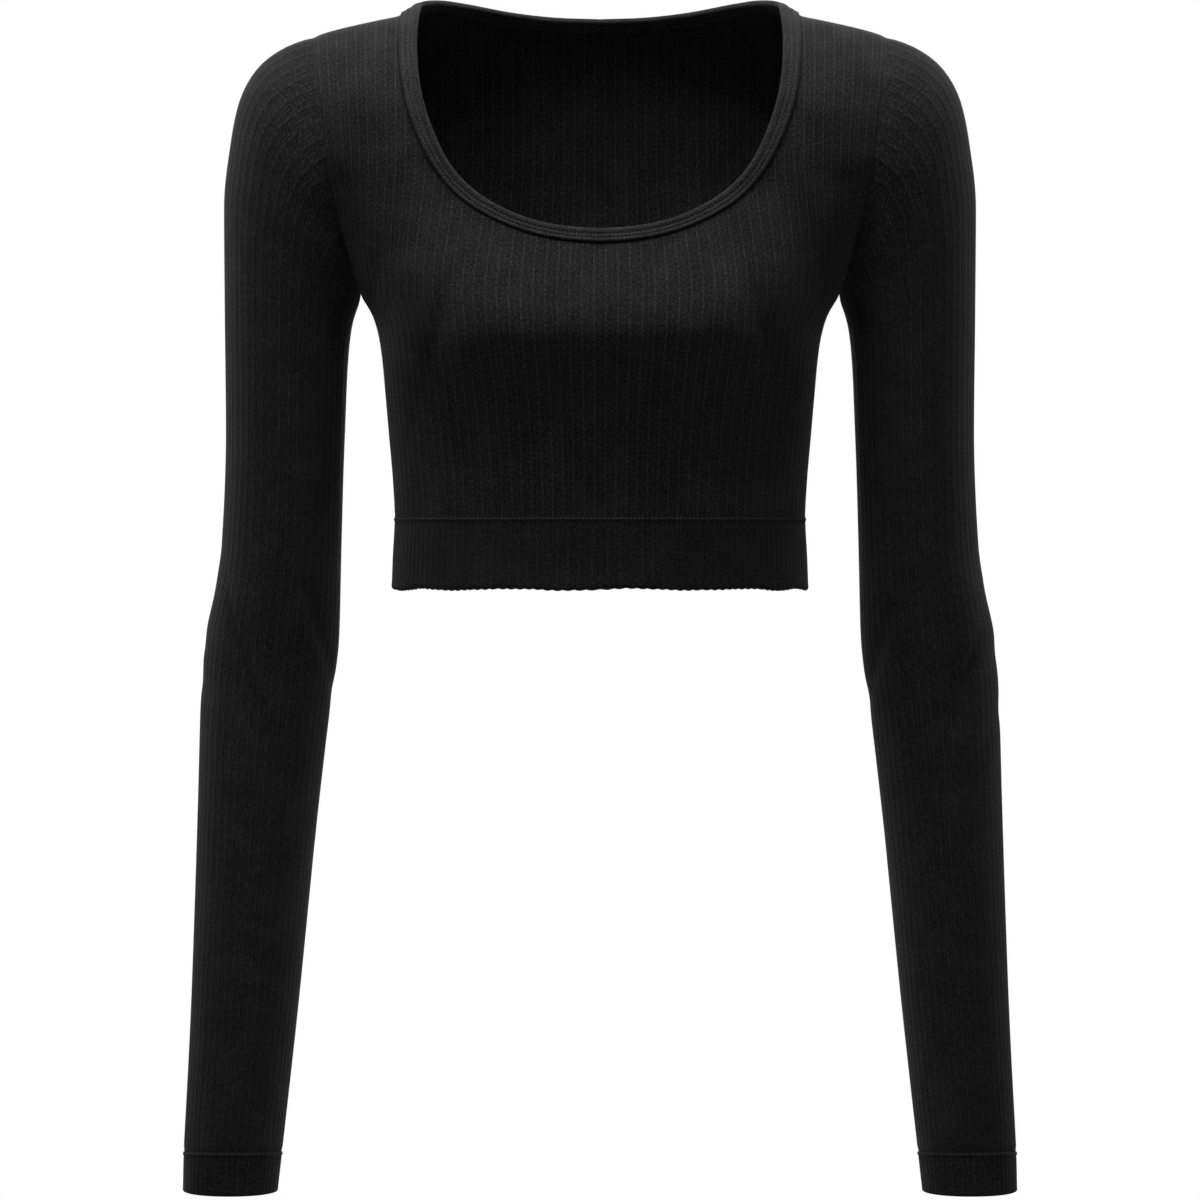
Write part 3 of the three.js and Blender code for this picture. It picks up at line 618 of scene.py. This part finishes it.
def sleeve(name, mirror, folds):
    """A sleeve from the armhole to the cuff, built on the wearer's left and mirrored to the right."""
    phase = rib_columns(SLEEVE_RIBS, WALE_SHARES)
    angle = 2 * math.pi * phase / SLEEVE_RIBS
    raised = np.tile(WALE_HEIGHTS, SLEEVE_RIBS)
    dense = np.linspace(0, len(sleeve_rings["deep"]) - 1, SLEEVE_SAMPLES)
    centres = sleeve_centres(rings_at(dense))[:, 0]
    run = np.concatenate([[0], np.cumsum(np.linalg.norm(np.diff(centres, axis=0), axis=1))])
    count = int(run[-1] / SLEEVE_STEP)
    at = np.interp(np.linspace(0, run[-1], count + 1), run, dense)
    rings = rings_at(at)
    start = {key: column[0] for key, column in sleeve_rings.items()}
    seam = armhole_point(angle)
    bow = (seam - oval(start, angle))[None] * rings["bow"][..., None]
    base = oval(rings, angle[None, :]) + bow
    middle = sleeve_centres(rings)
    normal = grid_normals(base, True)
    normal = normal * np.sign(np.sum(normal * (base - middle), axis=2, keepdims=True))
    base[0] += SEAM_GAP * unit(base[1] - base[0])
    along = np.linalg.norm(np.diff(base, axis=0), axis=2)
    down = np.vstack([np.zeros((1, len(phase))), np.cumsum(along, axis=0)])
    up = down[-1:] - down
    dip = CUFF_SEAM_DIP * np.exp(-(up / SEAM_REACH) ** 2)
    front_side = np.broadcast_to(angle[None, :] <= math.pi, down.shape)
    worn_x = base[..., 0] * (-1 if mirror else 1)
    creased = np.where(
        front_side,
        crease_depth(worn_x, base[..., 2], front_creases) + form_depth(worn_x, base[..., 2], 0.0),
        -crease_depth(worn_x, base[..., 2], back_creases),
    )
    armhole_dip = armhole_way(base) * (SEAM_DIP * np.exp(-(down / SEAM_REACH) ** 2))[..., None]
    radius = np.linalg.norm(base - middle, axis=2)
    for k in range(len(folds["angle"])):
        turn = (np.degrees(angle)[None, :] - folds["angle"][k] + 180) % 360 - 180
        side_way = np.radians(turn) * radius
        down_way = down - folds["run"][k]
        tilt = math.radians(folds["tilt"][k])
        cross = (down_way * math.cos(tilt) - side_way * math.sin(tilt)) / folds["width"][k]
        length = (down_way * math.sin(tilt) + side_way * math.cos(tilt)) / folds["length"][k]
        dip = dip + folds["depth"][k] * np.exp(-cross ** 2 - length ** 2)
    base = base - normal * dip[..., None] - armhole_dip
    base[..., 1] += creased * np.exp(-(down / ARMHOLE_FADE) ** 2)
    flat_end = smooth(down / RIB_FADE) * smooth(up / RIB_FADE)
    wale = (raised[None, :] * flat_end)[..., None]
    outer = base + normal * wale
    inner = base - normal * (CLOTH_WALL + INNER_WALE * wale)
    across = np.append(phase, SLEEVE_RIBS) * SLEEVE_PITCH * MM
    down_wide = np.hstack([down, down[:, :1]]) * MM
    uv = np.stack([np.repeat(across[None, :], len(down), 0), down_wide], 2)
    way = np.array([-1.0 if mirror else 1.0, 1.0, 1.0])
    return shell(name, outer * way, inner * way, uv, True)


# Bands
BAND_RIBS = 136
BAND_PITCH = 4.6
CUFF_RIBS = 50
CUFF_PITCH = 2.6
BAND_WALE_HEIGHTS = (0.03, 0.0, 0.13, 0.0)
BAND_WALL = 1.6
BAND_THINNEST = 0.5
BAND_STEPS = 12
CUFF_STEPS = 6
band_profile = table(
    "down rise rib",
    (-1.6, -1.9, 0),
    (-0.1, -0.5, 0),
    (0, 0.1, 0),
    (0.3, 0.3, 0),
    (0.7, 0.45, 0.1),
    (1.3, 0.45, 0.15),
    (1.9, 0.3, 0.2),
    (2.6, 0.05, 0.4),
    (3.2, -0.05, 0.8),
    (4.2, 0, 1),
    (34.8, 0.1, 1),
    (36.4, 0.25, 0.8),
    (37.6, 0.2, 0.6),
    (38.2, -0.3, 0.4),
    (38.55, -1.0, 0.2),
)
cuff_profile = table(
    "down rise rib",
    (-1.2, -1.9, 0),
    (-0.1, -0.5, 0),
    (0, 0.1, 0),
    (0.3, 0.25, 0),
    (0.7, 0.45, 0.1),
    (1.1, 0.5, 0.15),
    (1.6, 0.3, 0.2),
    (2.1, 0.05, 0.4),
    (2.6, -0.1, 0.8),
    (3.4, 0, 1),
    (18.6, 0.05, 1),
    (20.0, 0.15, 0.8),
    (20.7, 0.05, 0.6),
    (21.1, -0.35, 0.4),
    (21.25, -0.9, 0.2),
)


def band(name, base_at, ribs, pitch, profile, steps, mirror=False):
    """A ribbed tube. base_at gives its plain ring of points at a distance down from its top."""
    phase = rib_columns(ribs, WALE_SHARES)
    angle = 2 * math.pi * phase / ribs
    raised = np.tile(BAND_WALE_HEIGHTS, ribs)
    full = profile["down"][-1]
    ribbed = profile["down"][profile["rib"] == 1]
    down = np.unique(np.concatenate([profile["down"], np.linspace(ribbed[0], ribbed[-1], steps)]))
    rise = np.interp(down, profile["down"], profile["rise"])[:, None]
    rib = np.interp(down, profile["down"], profile["rib"])[:, None]
    base = base_at(down[:, None], angle[None, :], full)
    middle = base.mean(axis=1, keepdims=True)
    normal = grid_normals(base, True)
    normal = normal * np.sign(np.sum(normal * (base - middle), axis=2, keepdims=True))
    height = (rise + rib * raised[None, :])[..., None]
    outer = base + normal * height
    thick = np.maximum(BAND_WALL + INNER_WALE * 0.5 * rib * raised[None, :], BAND_THINNEST - rise)
    inner = base - normal * thick[..., None]
    across = np.append(phase, ribs) * pitch * MM
    uv = np.stack(np.broadcast_arrays(across[None, :], down[:, None] * MM), 2)
    way = np.array([-1.0 if mirror else 1.0, 1.0, 1.0])
    return shell(name, outer * way, inner * way, uv, True)


WAIST_TOP = PANEL_BOTTOM - SEAM_GAP
HEM_WAVE = 0.45
HEM_WAVES = 11
HEM_SMALL_WAVES = 17
HEM_SCALLOP = 0.55
HEM_FADE = 4
CUFF_TOP = -615.75
CUFF_DROP = 2.4


def waist_ring(down, angle, full):
    """The waistband's plain ring, which goes wavy and scalloped towards the hem."""
    z = WAIST_TOP - down
    half = read(trunk, "z", "half", z)
    front_deep = read(trunk, "z", "front", z)
    back_deep = read(trunk, "z", "back", z)
    deep = np.where(np.cos(angle) > 0, front_deep, back_deep)
    x = half * power(np.sin(angle), 2 / SECTION_POWER)
    y = -deep * power(np.cos(angle), 2 / SECTION_POWER)
    wave = np.sin(HEM_WAVES * angle) + 0.6 * np.sin(HEM_SMALL_WAVES * angle + 1)
    wave = HEM_WAVE * wave * (down / full) ** 2
    scallop = HEM_SCALLOP * np.abs(np.sin(BAND_RIBS * angle / 2))
    scallop = scallop * smooth((down - full + HEM_FADE) / HEM_FADE)
    x, y, z, wave, scallop = np.broadcast_arrays(x, y, z, wave, scallop)
    return np.stack([x, y, z + wave - scallop], -1)


def cuff_ring(down, angle, full):
    """The left cuff's plain ring, which drops a little lower in front."""
    t = down / full
    last = {key: column[-1] for key, column in sleeve_rings.items()}
    z = CUFF_TOP - down
    ring = {key: last[key] + (CUFF_END[key] - last[key]) * t for key in CUFF_END}
    ring["inner_z"] = z
    ring["outer_z"] = z
    points = oval(ring, angle)
    drop = CUFF_DROP * t * np.maximum(0, np.sin(angle))
    return points - np.stack([drop * 0, drop * 0, drop], -1)


# Binding: its section from the neck seam to the rolled edge and back inside
# The first rows make a thin lip lying over the panel; it and the wall above it carry binding_knit's
# painted seam shadow
binding_section = table(
    "share out",
    (-0.12, -0.3),
    (-0.12, 0.3),
    (-0.01, 0.35),
    (0.0, 0.9),
    (0.03, 1.25),
    (0.1, 1.4),
    (0.16, 1.35),
    (0.2, 1.15),
    (0.22, 1.05),
    (0.25, 1.15),
    (0.3, 1.4),
    (0.38, 1.55),
    (0.46, 1.4),
    (0.49, 1.2),
    (0.51, 1.1),
    (0.53, 1.25),
    (0.6, 1.6),
    (0.72, 1.8),
    (0.84, 1.8),
    (0.93, 1.5),
    (0.98, 0.9),
    (1.0, 0.1),
    (0.98, -0.8),
    (0.93, -1.4),
    (0.8, -1.75),
    (0.6, -1.6),
    (0.51, -1.3),
    (0.42, -1.6),
    (0.3, -1.65),
    (0.22, -1.35),
    (0.14, -1.65),
    (0.05, -1.6),
    (0.0, -1.2),
)
BINDING_GAP = 0.4


def binding():
    """The binding's section carried round the neck, from the seam to the edge and back inside."""
    start = neck_seam + neck_inward * BINDING_GAP
    share = binding_section["share"][None, :, None]
    out = binding_section["out"][None, :, None]
    rings = start[:, None, :] + (neck_edge - start)[:, None, :] * share + neck_normal[:, None, :] * out
    count, sides = rings.shape[:2]
    step = np.linalg.norm(np.diff(np.vstack([neck_edge, neck_edge[:1]]), axis=0), axis=1)
    run = np.concatenate([[0], np.cumsum(step)]) * MM
    girth = np.linalg.norm(np.diff(np.vstack([rings[0], rings[0][:1]]), axis=0), axis=1)
    round_way = np.concatenate([[0], np.cumsum(girth)]) * MM
    i, k = np.meshgrid(np.arange(count), np.arange(sides), indexing="ij")
    i, k = i.reshape(-1), k.reshape(-1)
    following = (i + 1) % count
    turn = (k + 1) % sides
    here = i * sides
    ahead = following * sides
    quads = np.stack([here + k, here + turn, ahead + turn, ahead + k], 1)
    corner_u = np.stack([run[i], run[i], run[i + 1], run[i + 1]], 1)
    corner_v = np.stack([round_way[k], round_way[k + 1], round_way[k + 1], round_way[k]], 1)
    points = rings.reshape(-1, 3)
    a, b, d, e = (points[quads[:, n]] for n in range(4))
    if np.sum(a * np.cross(b, d)) + np.sum(a * np.cross(d, e)) < 0:
        quads = quads[:, ::-1]
        corner_u = corner_u[:, ::-1]
        corner_v = corner_v[:, ::-1]
    mesh = bpy.data.meshes.new("neck_binding_cloth")
    mesh.from_pydata((points * MM).tolist(), [], quads.tolist())
    layer = mesh.uv_layers.new(name="cloth")
    layer.data.foreach_set("uv", np.stack([corner_u, corner_v], 2).astype(np.float32).reshape(-1))
    mesh.polygons.foreach_set("use_smooth", np.ones(len(mesh.polygons), bool))
    mesh.update()
    piece = bpy.data.objects.new("neck_binding_cloth", mesh)
    bpy.context.scene.collection.objects.link(piece)
    return piece


pieces = {
    "front": panel("front_panel", -1, front_creases),
    "back": panel("back_panel", 1, back_creases),
    "sleeve_left": sleeve("left_sleeve", False, left_sleeve_folds),
    "sleeve_right": sleeve("right_sleeve", True, right_sleeve_folds),
    "cuff_left": band("left_cuff", cuff_ring, CUFF_RIBS, CUFF_PITCH, cuff_profile, CUFF_STEPS),
    "cuff_right": band("right_cuff", cuff_ring, CUFF_RIBS, CUFF_PITCH, cuff_profile, CUFF_STEPS, True),
    "waistband": band("waist_band", waist_ring, BAND_RIBS, BAND_PITCH, band_profile, BAND_STEPS),
    "neck_binding": binding(),
}


# Materials
class Nodes:
    """Short calls for the nodes of one tree."""

    def __init__(self, tree):
        self.tree = tree

    def add(self, kind, **settings):
        node = self.tree.nodes.new(kind)
        for name, value in settings.items():
            setattr(node, name, value)
        return node

    def feed(self, socket, value):
        if hasattr(value, "is_linked"):
            self.tree.links.new(value, socket)
        else:
            socket.default_value = value

    def math(self, operation, *values, clamp=False):
        node = self.add("ShaderNodeMath", operation=operation, use_clamp=clamp)
        for socket, value in zip(node.inputs, values):
            self.feed(socket, value)
        return node.outputs[0]

    def ramp(self, value, low, high, to_low=0.0, to_high=1.0):
        node = self.add("ShaderNodeMapRange", interpolation_type="SMOOTHSTEP")
        for socket, part in zip(node.inputs, (value, low, high, to_low, to_high)):
            self.feed(socket, part)
        return node.outputs[0]

    def noise(self, vector, scale, detail=2.0, rough=0.5):
        node = self.add("ShaderNodeTexNoise")
        self.feed(node.inputs["Vector"], vector)
        for name, value in (("Scale", scale), ("Detail", detail), ("Roughness", rough)):
            node.inputs[name].default_value = value
        return node.outputs[0]

    def mix(self, share, low, high):
        node = self.add("ShaderNodeMix", data_type="RGBA")
        for socket, value in ((node.inputs[0], share), (node.inputs[6], low), (node.inputs[7], high)):
            self.feed(socket, value)
        return node.outputs[2]


def knit_group():
    """Ribs and fine stitches from the cloth's own UV map: how much painted highlight the wale tops get,
    and how high.
    """
    group = bpy.data.node_groups.new("rib_knit", "ShaderNodeTree")
    for name in ("Across", "Along", "Pitch", "Stitch"):
        group.interface.new_socket(name, in_out="INPUT", socket_type="NodeSocketFloat")
    for name in ("Wale_highlight", "Height"):
        group.interface.new_socket(name, in_out="OUTPUT", socket_type="NodeSocketFloat")
    n = Nodes(group)
    given = n.add("NodeGroupInput")
    result = n.add("NodeGroupOutput")
    across, along, pitch, stitch = (given.outputs[i] for i in range(4))
    phase = n.math("DIVIDE", across, pitch)

    def from_wale(times):
        turn = n.math("FRACT", n.math("MULTIPLY", phase, times))
        return n.math("ABSOLUTE", n.math("SUBTRACT", turn, 0.5))

    # Painted highlight: the wale tops, and more weakly the minor wales, are made paler where ridges would
    # catch the light, broken by the loops
    wale = n.ramp(from_wale(1.0), 0.03, 0.10, 1.0, 0.0)
    between = n.ramp(from_wale(1.0), 0.42, 0.48, 0.0, 1.0)
    fine = from_wale(4.0)
    row = n.math("FRACT", n.math("ADD", n.math("DIVIDE", along, stitch), fine))
    loop = n.ramp(n.math("ABSOLUTE", n.math("SUBTRACT", row, 0.5)), 0.1, 0.45, 1.0, 0.0)
    fine_height = n.ramp(fine, 0.05, 0.5, 1.0, 0.0)
    height = n.math("MULTIPLY_ADD", loop, 0.3, n.math("MULTIPLY", fine_height, 0.35))
    height = n.math("MULTIPLY_ADD", wale, 0.25, height)
    broken = n.math("MULTIPLY_ADD", loop, 0.6, 0.4)
    pale = n.math("MULTIPLY", n.math("MULTIPLY_ADD", between, 0.4, wale), broken)
    n.feed(result.inputs[0], pale)
    n.feed(result.inputs[1], height)
    return group


rib_knit = knit_group()


def grey(value):
    """A colour with no tint."""
    return (value, value, value, 1.0)


# What all the knit has in common, in metres and as noise scales
MOTTLE_SCALE = 60.0
FIBRE_SCALE = 1400.0
FLECK_SCALE = 1100.0
FLECK_SHAPE = (1.0, 0.6, 1.0)
# The painted seam shadow: its soft edge and its near-black tone
SEAM_SHADOW_BLUR = 0.0004
SEAM_SHADOW_TONE = 0.001
BUMP_STRENGTH = 0.6
GLOSS = 0.15
SHEEN = 0.05
SHEEN_ROUGHNESS = 0.45


def knit_material(name, pitch, dark, pale, edge=0.0, rib=0.5, flecks=0.5, stitch=0.0016, depth=0.0004):
    """Ribbed cloth: broken ribs with painted highlight on the wale tops, short flecks along the wales, and
    a cloudy tone.

    edge is the width of a painted shadow line along the seam, rib is how strong the wale highlight is,
    flecks how pale the flecks are, stitch is the height of a row of loops, and depth is how far the knit
    stands out.
    """
    material = bpy.data.materials.new(name)
    material.use_nodes = True
    n = Nodes(material.node_tree)
    shader = material.node_tree.nodes["Principled BSDF"]
    uv = n.add("ShaderNodeUVMap", uv_map="cloth")
    parts = n.add("ShaderNodeSeparateXYZ")
    n.feed(parts.inputs[0], uv.outputs[0])
    knit = n.add("ShaderNodeGroup", node_tree=rib_knit)
    for socket, value in zip(knit.inputs, (parts.outputs[0], parts.outputs[1], pitch, stitch)):
        n.feed(socket, value)
    drawn = n.add("ShaderNodeVectorMath", operation="MULTIPLY")
    n.feed(drawn.inputs[0], uv.outputs[0])
    drawn.inputs[1].default_value = FLECK_SHAPE
    place = n.add("ShaderNodeTexCoord").outputs["Object"]
    mottle = n.noise(place, MOTTLE_SCALE, 3.0, 0.6)
    fibre = n.noise(place, FIBRE_SCALE, 2.0, 0.7)
    fleck = n.ramp(n.noise(drawn.outputs[0], FLECK_SCALE, 3.0, 0.8), 0.42, 0.64, 0.0, 1.0)
    # Painted highlight along the wale tops, as strong as rib, plus the flecks and the cloudy tone that the
    # yarn has
    ribbed = n.math("MULTIPLY", knit.outputs[0], n.math("MULTIPLY_ADD", fleck, 0.7, 0.45))
    tone = n.math("MULTIPLY_ADD", ribbed, rib, n.math("MULTIPLY", fleck, flecks))
    tone = n.math("MULTIPLY_ADD", n.math("SUBTRACT", mottle, 0.5), 0.5, tone, clamp=True)
    colour = n.mix(tone, grey(dark), grey(pale))
    # Painted shadow: a near-black line along the binding's seam side, standing in for the shaded groove
    # between binding and panel
    if edge:
        seam_shadow = n.ramp(parts.outputs[1], edge, edge + SEAM_SHADOW_BLUR, 0.0, 1.0)
        colour = n.mix(seam_shadow, grey(SEAM_SHADOW_TONE), colour)
    n.feed(shader.inputs["Base Color"], colour)
    bump = n.add("ShaderNodeBump")
    bump.inputs["Strength"].default_value = BUMP_STRENGTH
    bump.inputs["Distance"].default_value = depth
    n.feed(bump.inputs["Height"], n.math("MULTIPLY_ADD", fibre, 0.4, knit.outputs[1]))
    n.feed(shader.inputs["Normal"], bump.outputs[0])
    n.feed(shader.inputs["Roughness"], n.math("MULTIPLY_ADD", fibre, 0.12, 0.84))
    shader.inputs["Specular IOR Level"].default_value = GLOSS
    shader.inputs["Sheen Weight"].default_value = SHEEN
    shader.inputs["Sheen Roughness"].default_value = SHEEN_ROUGHNESS
    return material


thread_weave = dict(flecks=0.6, stitch=0.0006, depth=0.0001)
# rib is how strong the painted highlight along the wale tops is in each knit
materials = {
    "body_knit": knit_material("body_knit", PANEL_PITCH * MM, 0.003, 0.04),
    "sleeve_knit": knit_material("sleeve_knit", SLEEVE_PITCH * MM, 0.003, 0.034, rib=0.35),
    "band_knit": knit_material("band_knit", BAND_PITCH * MM, 0.003, 0.028, rib=0.4),
    # The binding's edge is the width of its painted seam shadow
    "binding_knit": knit_material("binding_knit", 0.0012, 0.006, 0.056, edge=0.0018, depth=0.0002),
    "thread": knit_material("thread", 0.0006, 0.03, 0.11, **thread_weave),
    "dark_thread": knit_material("dark_thread", 0.0006, 0.02, 0.085, **thread_weave),
}


# Stitches that follow the cloth
BEAD_SIDES = 6
BEAD_RINGS = 5
PATH_POINTS = 8


def stitch_group():
    """Beads of thread laid evenly along a path, turned outwards, at a given count and size."""
    group = bpy.data.node_groups.new("stitch_row", "GeometryNodeTree")
    group.interface.new_socket("Geometry", in_out="INPUT", socket_type="NodeSocketGeometry")
    group.interface.new_socket("Count", in_out="INPUT", socket_type="NodeSocketInt")
    group.interface.new_socket("Size", in_out="INPUT", socket_type="NodeSocketVector")
    group.interface.new_socket("Thread", in_out="INPUT", socket_type="NodeSocketMaterial")
    group.interface.new_socket("Geometry", in_out="OUTPUT", socket_type="NodeSocketGeometry")
    n = Nodes(group)
    given = n.add("NodeGroupInput")
    result = n.add("NodeGroupOutput")
    curve = n.add("GeometryNodeMeshToCurve")
    n.feed(curve.inputs[0], given.outputs[0])
    even = n.add("GeometryNodeResampleCurve")
    n.feed(even.inputs["Curve"], curve.outputs[0])
    n.feed(even.inputs["Count"], given.outputs[1])
    tangent = n.add("GeometryNodeInputTangent")
    outward = n.add("GeometryNodeInputNamedAttribute", data_type="FLOAT_VECTOR")
    outward.inputs["Name"].default_value = "outward"
    lie = n.add("FunctionNodeAlignRotationToVector", axis="X")
    n.feed(lie.inputs["Vector"], tangent.outputs[0])
    turn = n.add("FunctionNodeAlignRotationToVector", axis="Z", pivot_axis="X")
    n.feed(turn.inputs["Rotation"], lie.outputs[0])
    n.feed(turn.inputs["Vector"], outward.outputs[0])
    bead = n.add("GeometryNodeMeshUVSphere")
    bead.inputs["Segments"].default_value = BEAD_SIDES
    bead.inputs["Rings"].default_value = BEAD_RINGS
    bead.inputs["Radius"].default_value = 0.5
    beads = n.add("GeometryNodeInstanceOnPoints")
    n.feed(beads.inputs["Points"], even.outputs[0])
    n.feed(beads.inputs["Instance"], bead.outputs[0])
    n.feed(beads.inputs["Rotation"], turn.outputs[0])
    n.feed(beads.inputs["Scale"], given.outputs[2])
    real = n.add("GeometryNodeRealizeInstances")
    n.feed(real.inputs[0], beads.outputs[0])
    thread = n.add("GeometryNodeSetMaterial")
    n.feed(thread.inputs["Geometry"], real.outputs[0])
    n.feed(thread.inputs["Material"], given.outputs[3])
    n.feed(result.inputs[0], thread.outputs[0])
    return group


stitch_row = stitch_group()


def stitches(name, loops, count, size, thread):
    """One piece of stitches: loops holds pairs of points and outward ways, in millimetres."""
    mesh = bpy.data.meshes.new(name + "_path")
    points = np.vstack([loop[0] for loop in loops])
    ways = np.vstack([loop[1] for loop in loops])
    edges = []
    first = 0
    for loop, _ in loops:
        edges += [(first + i, first + (i + 1) % len(loop)) for i in range(len(loop))]
        first += len(loop)
    mesh.from_pydata((points * MM).tolist(), edges, [])
    outward = mesh.attributes.new("outward", "FLOAT_VECTOR", "POINT")
    outward.data.foreach_set("vector", ways.astype(np.float32).reshape(-1))
    path = bpy.data.objects.new(name + "_path", mesh)
    bpy.context.scene.collection.objects.link(path)
    modifier = path.modifiers.new("stitches", "NODES")
    modifier.node_group = stitch_row
    values = {"Count": count, "Size": [part * MM for part in size], "Thread": thread}
    for socket in stitch_row.interface.items_tree:
        if socket.in_out == "INPUT" and socket.name in values:
            modifier[socket.identifier] = values[socket.name]
    shown = path.evaluated_get(bpy.context.evaluated_depsgraph_get())
    made = bpy.data.meshes.new_from_object(shown)
    made.name = name
    made.materials.clear()
    made.materials.append(thread)
    bpy.data.objects.remove(path)
    bpy.data.meshes.remove(mesh)
    made.polygons.foreach_set("use_smooth", np.ones(len(made.polygons), bool))
    piece = bpy.data.objects.new(name, made)
    bpy.context.scene.collection.objects.link(piece)
    return piece


def on_binding(share, out):
    """A path along the binding, at a share of its width and a distance out."""
    start = neck_seam + neck_inward * BINDING_GAP
    points = start + (neck_edge - start) * share + neck_normal * out
    return points, neck_normal * np.sign(out)


def on_band(ring_at, ribs, profile, down, rise, mirror=False):
    """A path round a band at a distance down from its top, with its outward ways."""
    angle = np.linspace(0, 2 * math.pi, PATH_POINTS * ribs, endpoint=False)
    points = ring_at(np.array([[down]]), angle[None, :], profile["down"][-1])[0]
    around = np.roll(points, -1, axis=0) - np.roll(points, 1, axis=0)
    way = unit(np.cross(around, (0, 0, 1)))
    way = way * np.sign(np.sum(way * (points - points.mean(axis=0)), axis=1, keepdims=True))
    side = np.array([-1.0 if mirror else 1.0, 1.0, 1.0])
    return (points + way * rise) * side, way * side


BINDING_STITCHES = 340
WAIST_STITCHES = 2 * BAND_RIBS
CUFF_STITCHES = 64
NECK_STITCH = (1.35, 0.65, 0.5)
WAIST_STITCH = (2.0, 0.8, 0.4)
CUFF_STITCH = (2.0, 0.6, 0.3)
WAIST_ROW_DOWN = 1.0
CUFF_ROW_DOWN = 0.9
ROW_RISE = 0.4
binding_rows = [(0.51, 1.25), (0.22, 1.2), (0.51, -1.4), (0.22, -1.45)]
neck_rows = [on_binding(*row) for row in binding_rows]
waist_row = on_band(waist_ring, BAND_RIBS, band_profile, WAIST_ROW_DOWN, ROW_RISE)
cuff_row = on_band(cuff_ring, CUFF_RIBS, cuff_profile, CUFF_ROW_DOWN, ROW_RISE)
right_cuff_row = on_band(cuff_ring, CUFF_RIBS, cuff_profile, CUFF_ROW_DOWN, ROW_RISE, True)
thread = materials["thread"]
dark_thread = materials["dark_thread"]
sewn = {
    "neck_binding": stitches("neck_stitches", neck_rows, BINDING_STITCHES, NECK_STITCH, thread),
    "waistband": stitches("waist_beads", [waist_row], WAIST_STITCHES, WAIST_STITCH, dark_thread),
    "cuff_left": stitches("left_cuff_beads", [cuff_row], CUFF_STITCHES, CUFF_STITCH, dark_thread),
    "cuff_right": stitches("right_cuff_beads", [right_cuff_row], CUFF_STITCHES, CUFF_STITCH, dark_thread),
}

slots = {
    "front": "body_knit",
    "back": "body_knit",
    "sleeve_left": "sleeve_knit",
    "sleeve_right": "sleeve_knit",
    "cuff_left": "band_knit",
    "cuff_right": "band_knit",
    "waistband": "band_knit",
    "neck_binding": "binding_knit",
}
# Each piece gets its material and is attached to the root, its part from model.glb is hidden, and its
# stitches are attached
for node, piece in pieces.items():
    piece.data.materials.append(materials[slots[node]])
    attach(piece, "root")
    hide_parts(node)
    sewn_on = [sewn[node]] if node in sewn else []
    for row in sewn_on:
        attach(row, "root")

# Studio: a pale floor under an even white sky that the cloth sees only faintly
FLOOR = -1.2
FLOOR_HALF = 6
FLOOR_TONE = 0.7
SKY_LIGHT = 0.012

world = bpy.data.worlds.new("studio")
world.use_nodes = True
sky = Nodes(world.node_tree)
background = world.node_tree.nodes["Background"]
background.inputs["Color"].default_value = (1, 1, 1, 1)
seen = sky.add("ShaderNodeLightPath").outputs["Is Camera Ray"]
sky.feed(background.inputs["Strength"], sky.math("MULTIPLY_ADD", seen, 1.0 - SKY_LIGHT, SKY_LIGHT))
bpy.context.scene.world = world

floor_mesh = bpy.data.meshes.new("studio_floor")
corners = ((-1, -1), (1, -1), (1, 1), (-1, 1))
floor_points = [(x * FLOOR_HALF, y * FLOOR_HALF, FLOOR) for x, y in corners]
floor_mesh.from_pydata(floor_points, [], [(0, 1, 2, 3)])
floor = bpy.data.objects.new("studio_floor", floor_mesh)
bpy.context.scene.collection.objects.link(floor)
paper = bpy.data.materials.new("studio_paper")
paper.use_nodes = True
paper_shader = paper.node_tree.nodes["Principled BSDF"]
paper_shader.inputs["Base Color"].default_value = grey(FLOOR_TONE)
paper_shader.inputs["Roughness"].default_value = 0.9
floor_mesh.materials.append(paper)


def area_light(name, location, target, size, energy):
    """A soft box at one place, turned to face another."""
    data = bpy.data.lights.new(name, "AREA")
    data.shape = "RECTANGLE"
    data.size, data.size_y = size
    data.energy = energy
    light = bpy.data.objects.new(name, data)
    light.location = location
    way = np.array(target) - np.array(location)
    yaw = math.atan2(way[1], way[0]) - math.pi / 2
    pitch = math.atan2(way[2], math.hypot(way[0], way[1])) + math.pi / 2
    light.rotation_euler = (pitch, 0.0, yaw)
    bpy.context.scene.collection.objects.link(light)


# Each light's place and aim in metres, its size and its power in watts
area_light("key", (0.0, -0.5, 1.1), (0, 0, -0.2), (1.2, 0.6), 14)
area_light("overhead", (0.0, -0.15, 1.2), (0, 0, -0.2), (1.2, 0.6), 16)
area_light("left_high", (-0.7, -0.5, 1.2), (0, 0, -0.2), (0.6, 0.6), 10)
area_light("front_fill", (0.0, -3.0, 0.9), (0, 0, -0.2), (1.6, 1.6), 4)
area_light("back_fill", (0.0, 2.6, 0.4), (0, 0, -0.25), (1.6, 1.6), 45)
area_light("left_back", (-2.0, 1.1, 0.4), (0, 0, -0.3), (1.2, 1.2), 11)
area_light("right_back", (2.0, 1.1, 0.4), (0, 0, -0.3), (1.2, 1.2), 11)

bpy.context.scene.view_settings.view_transform = "Standard"
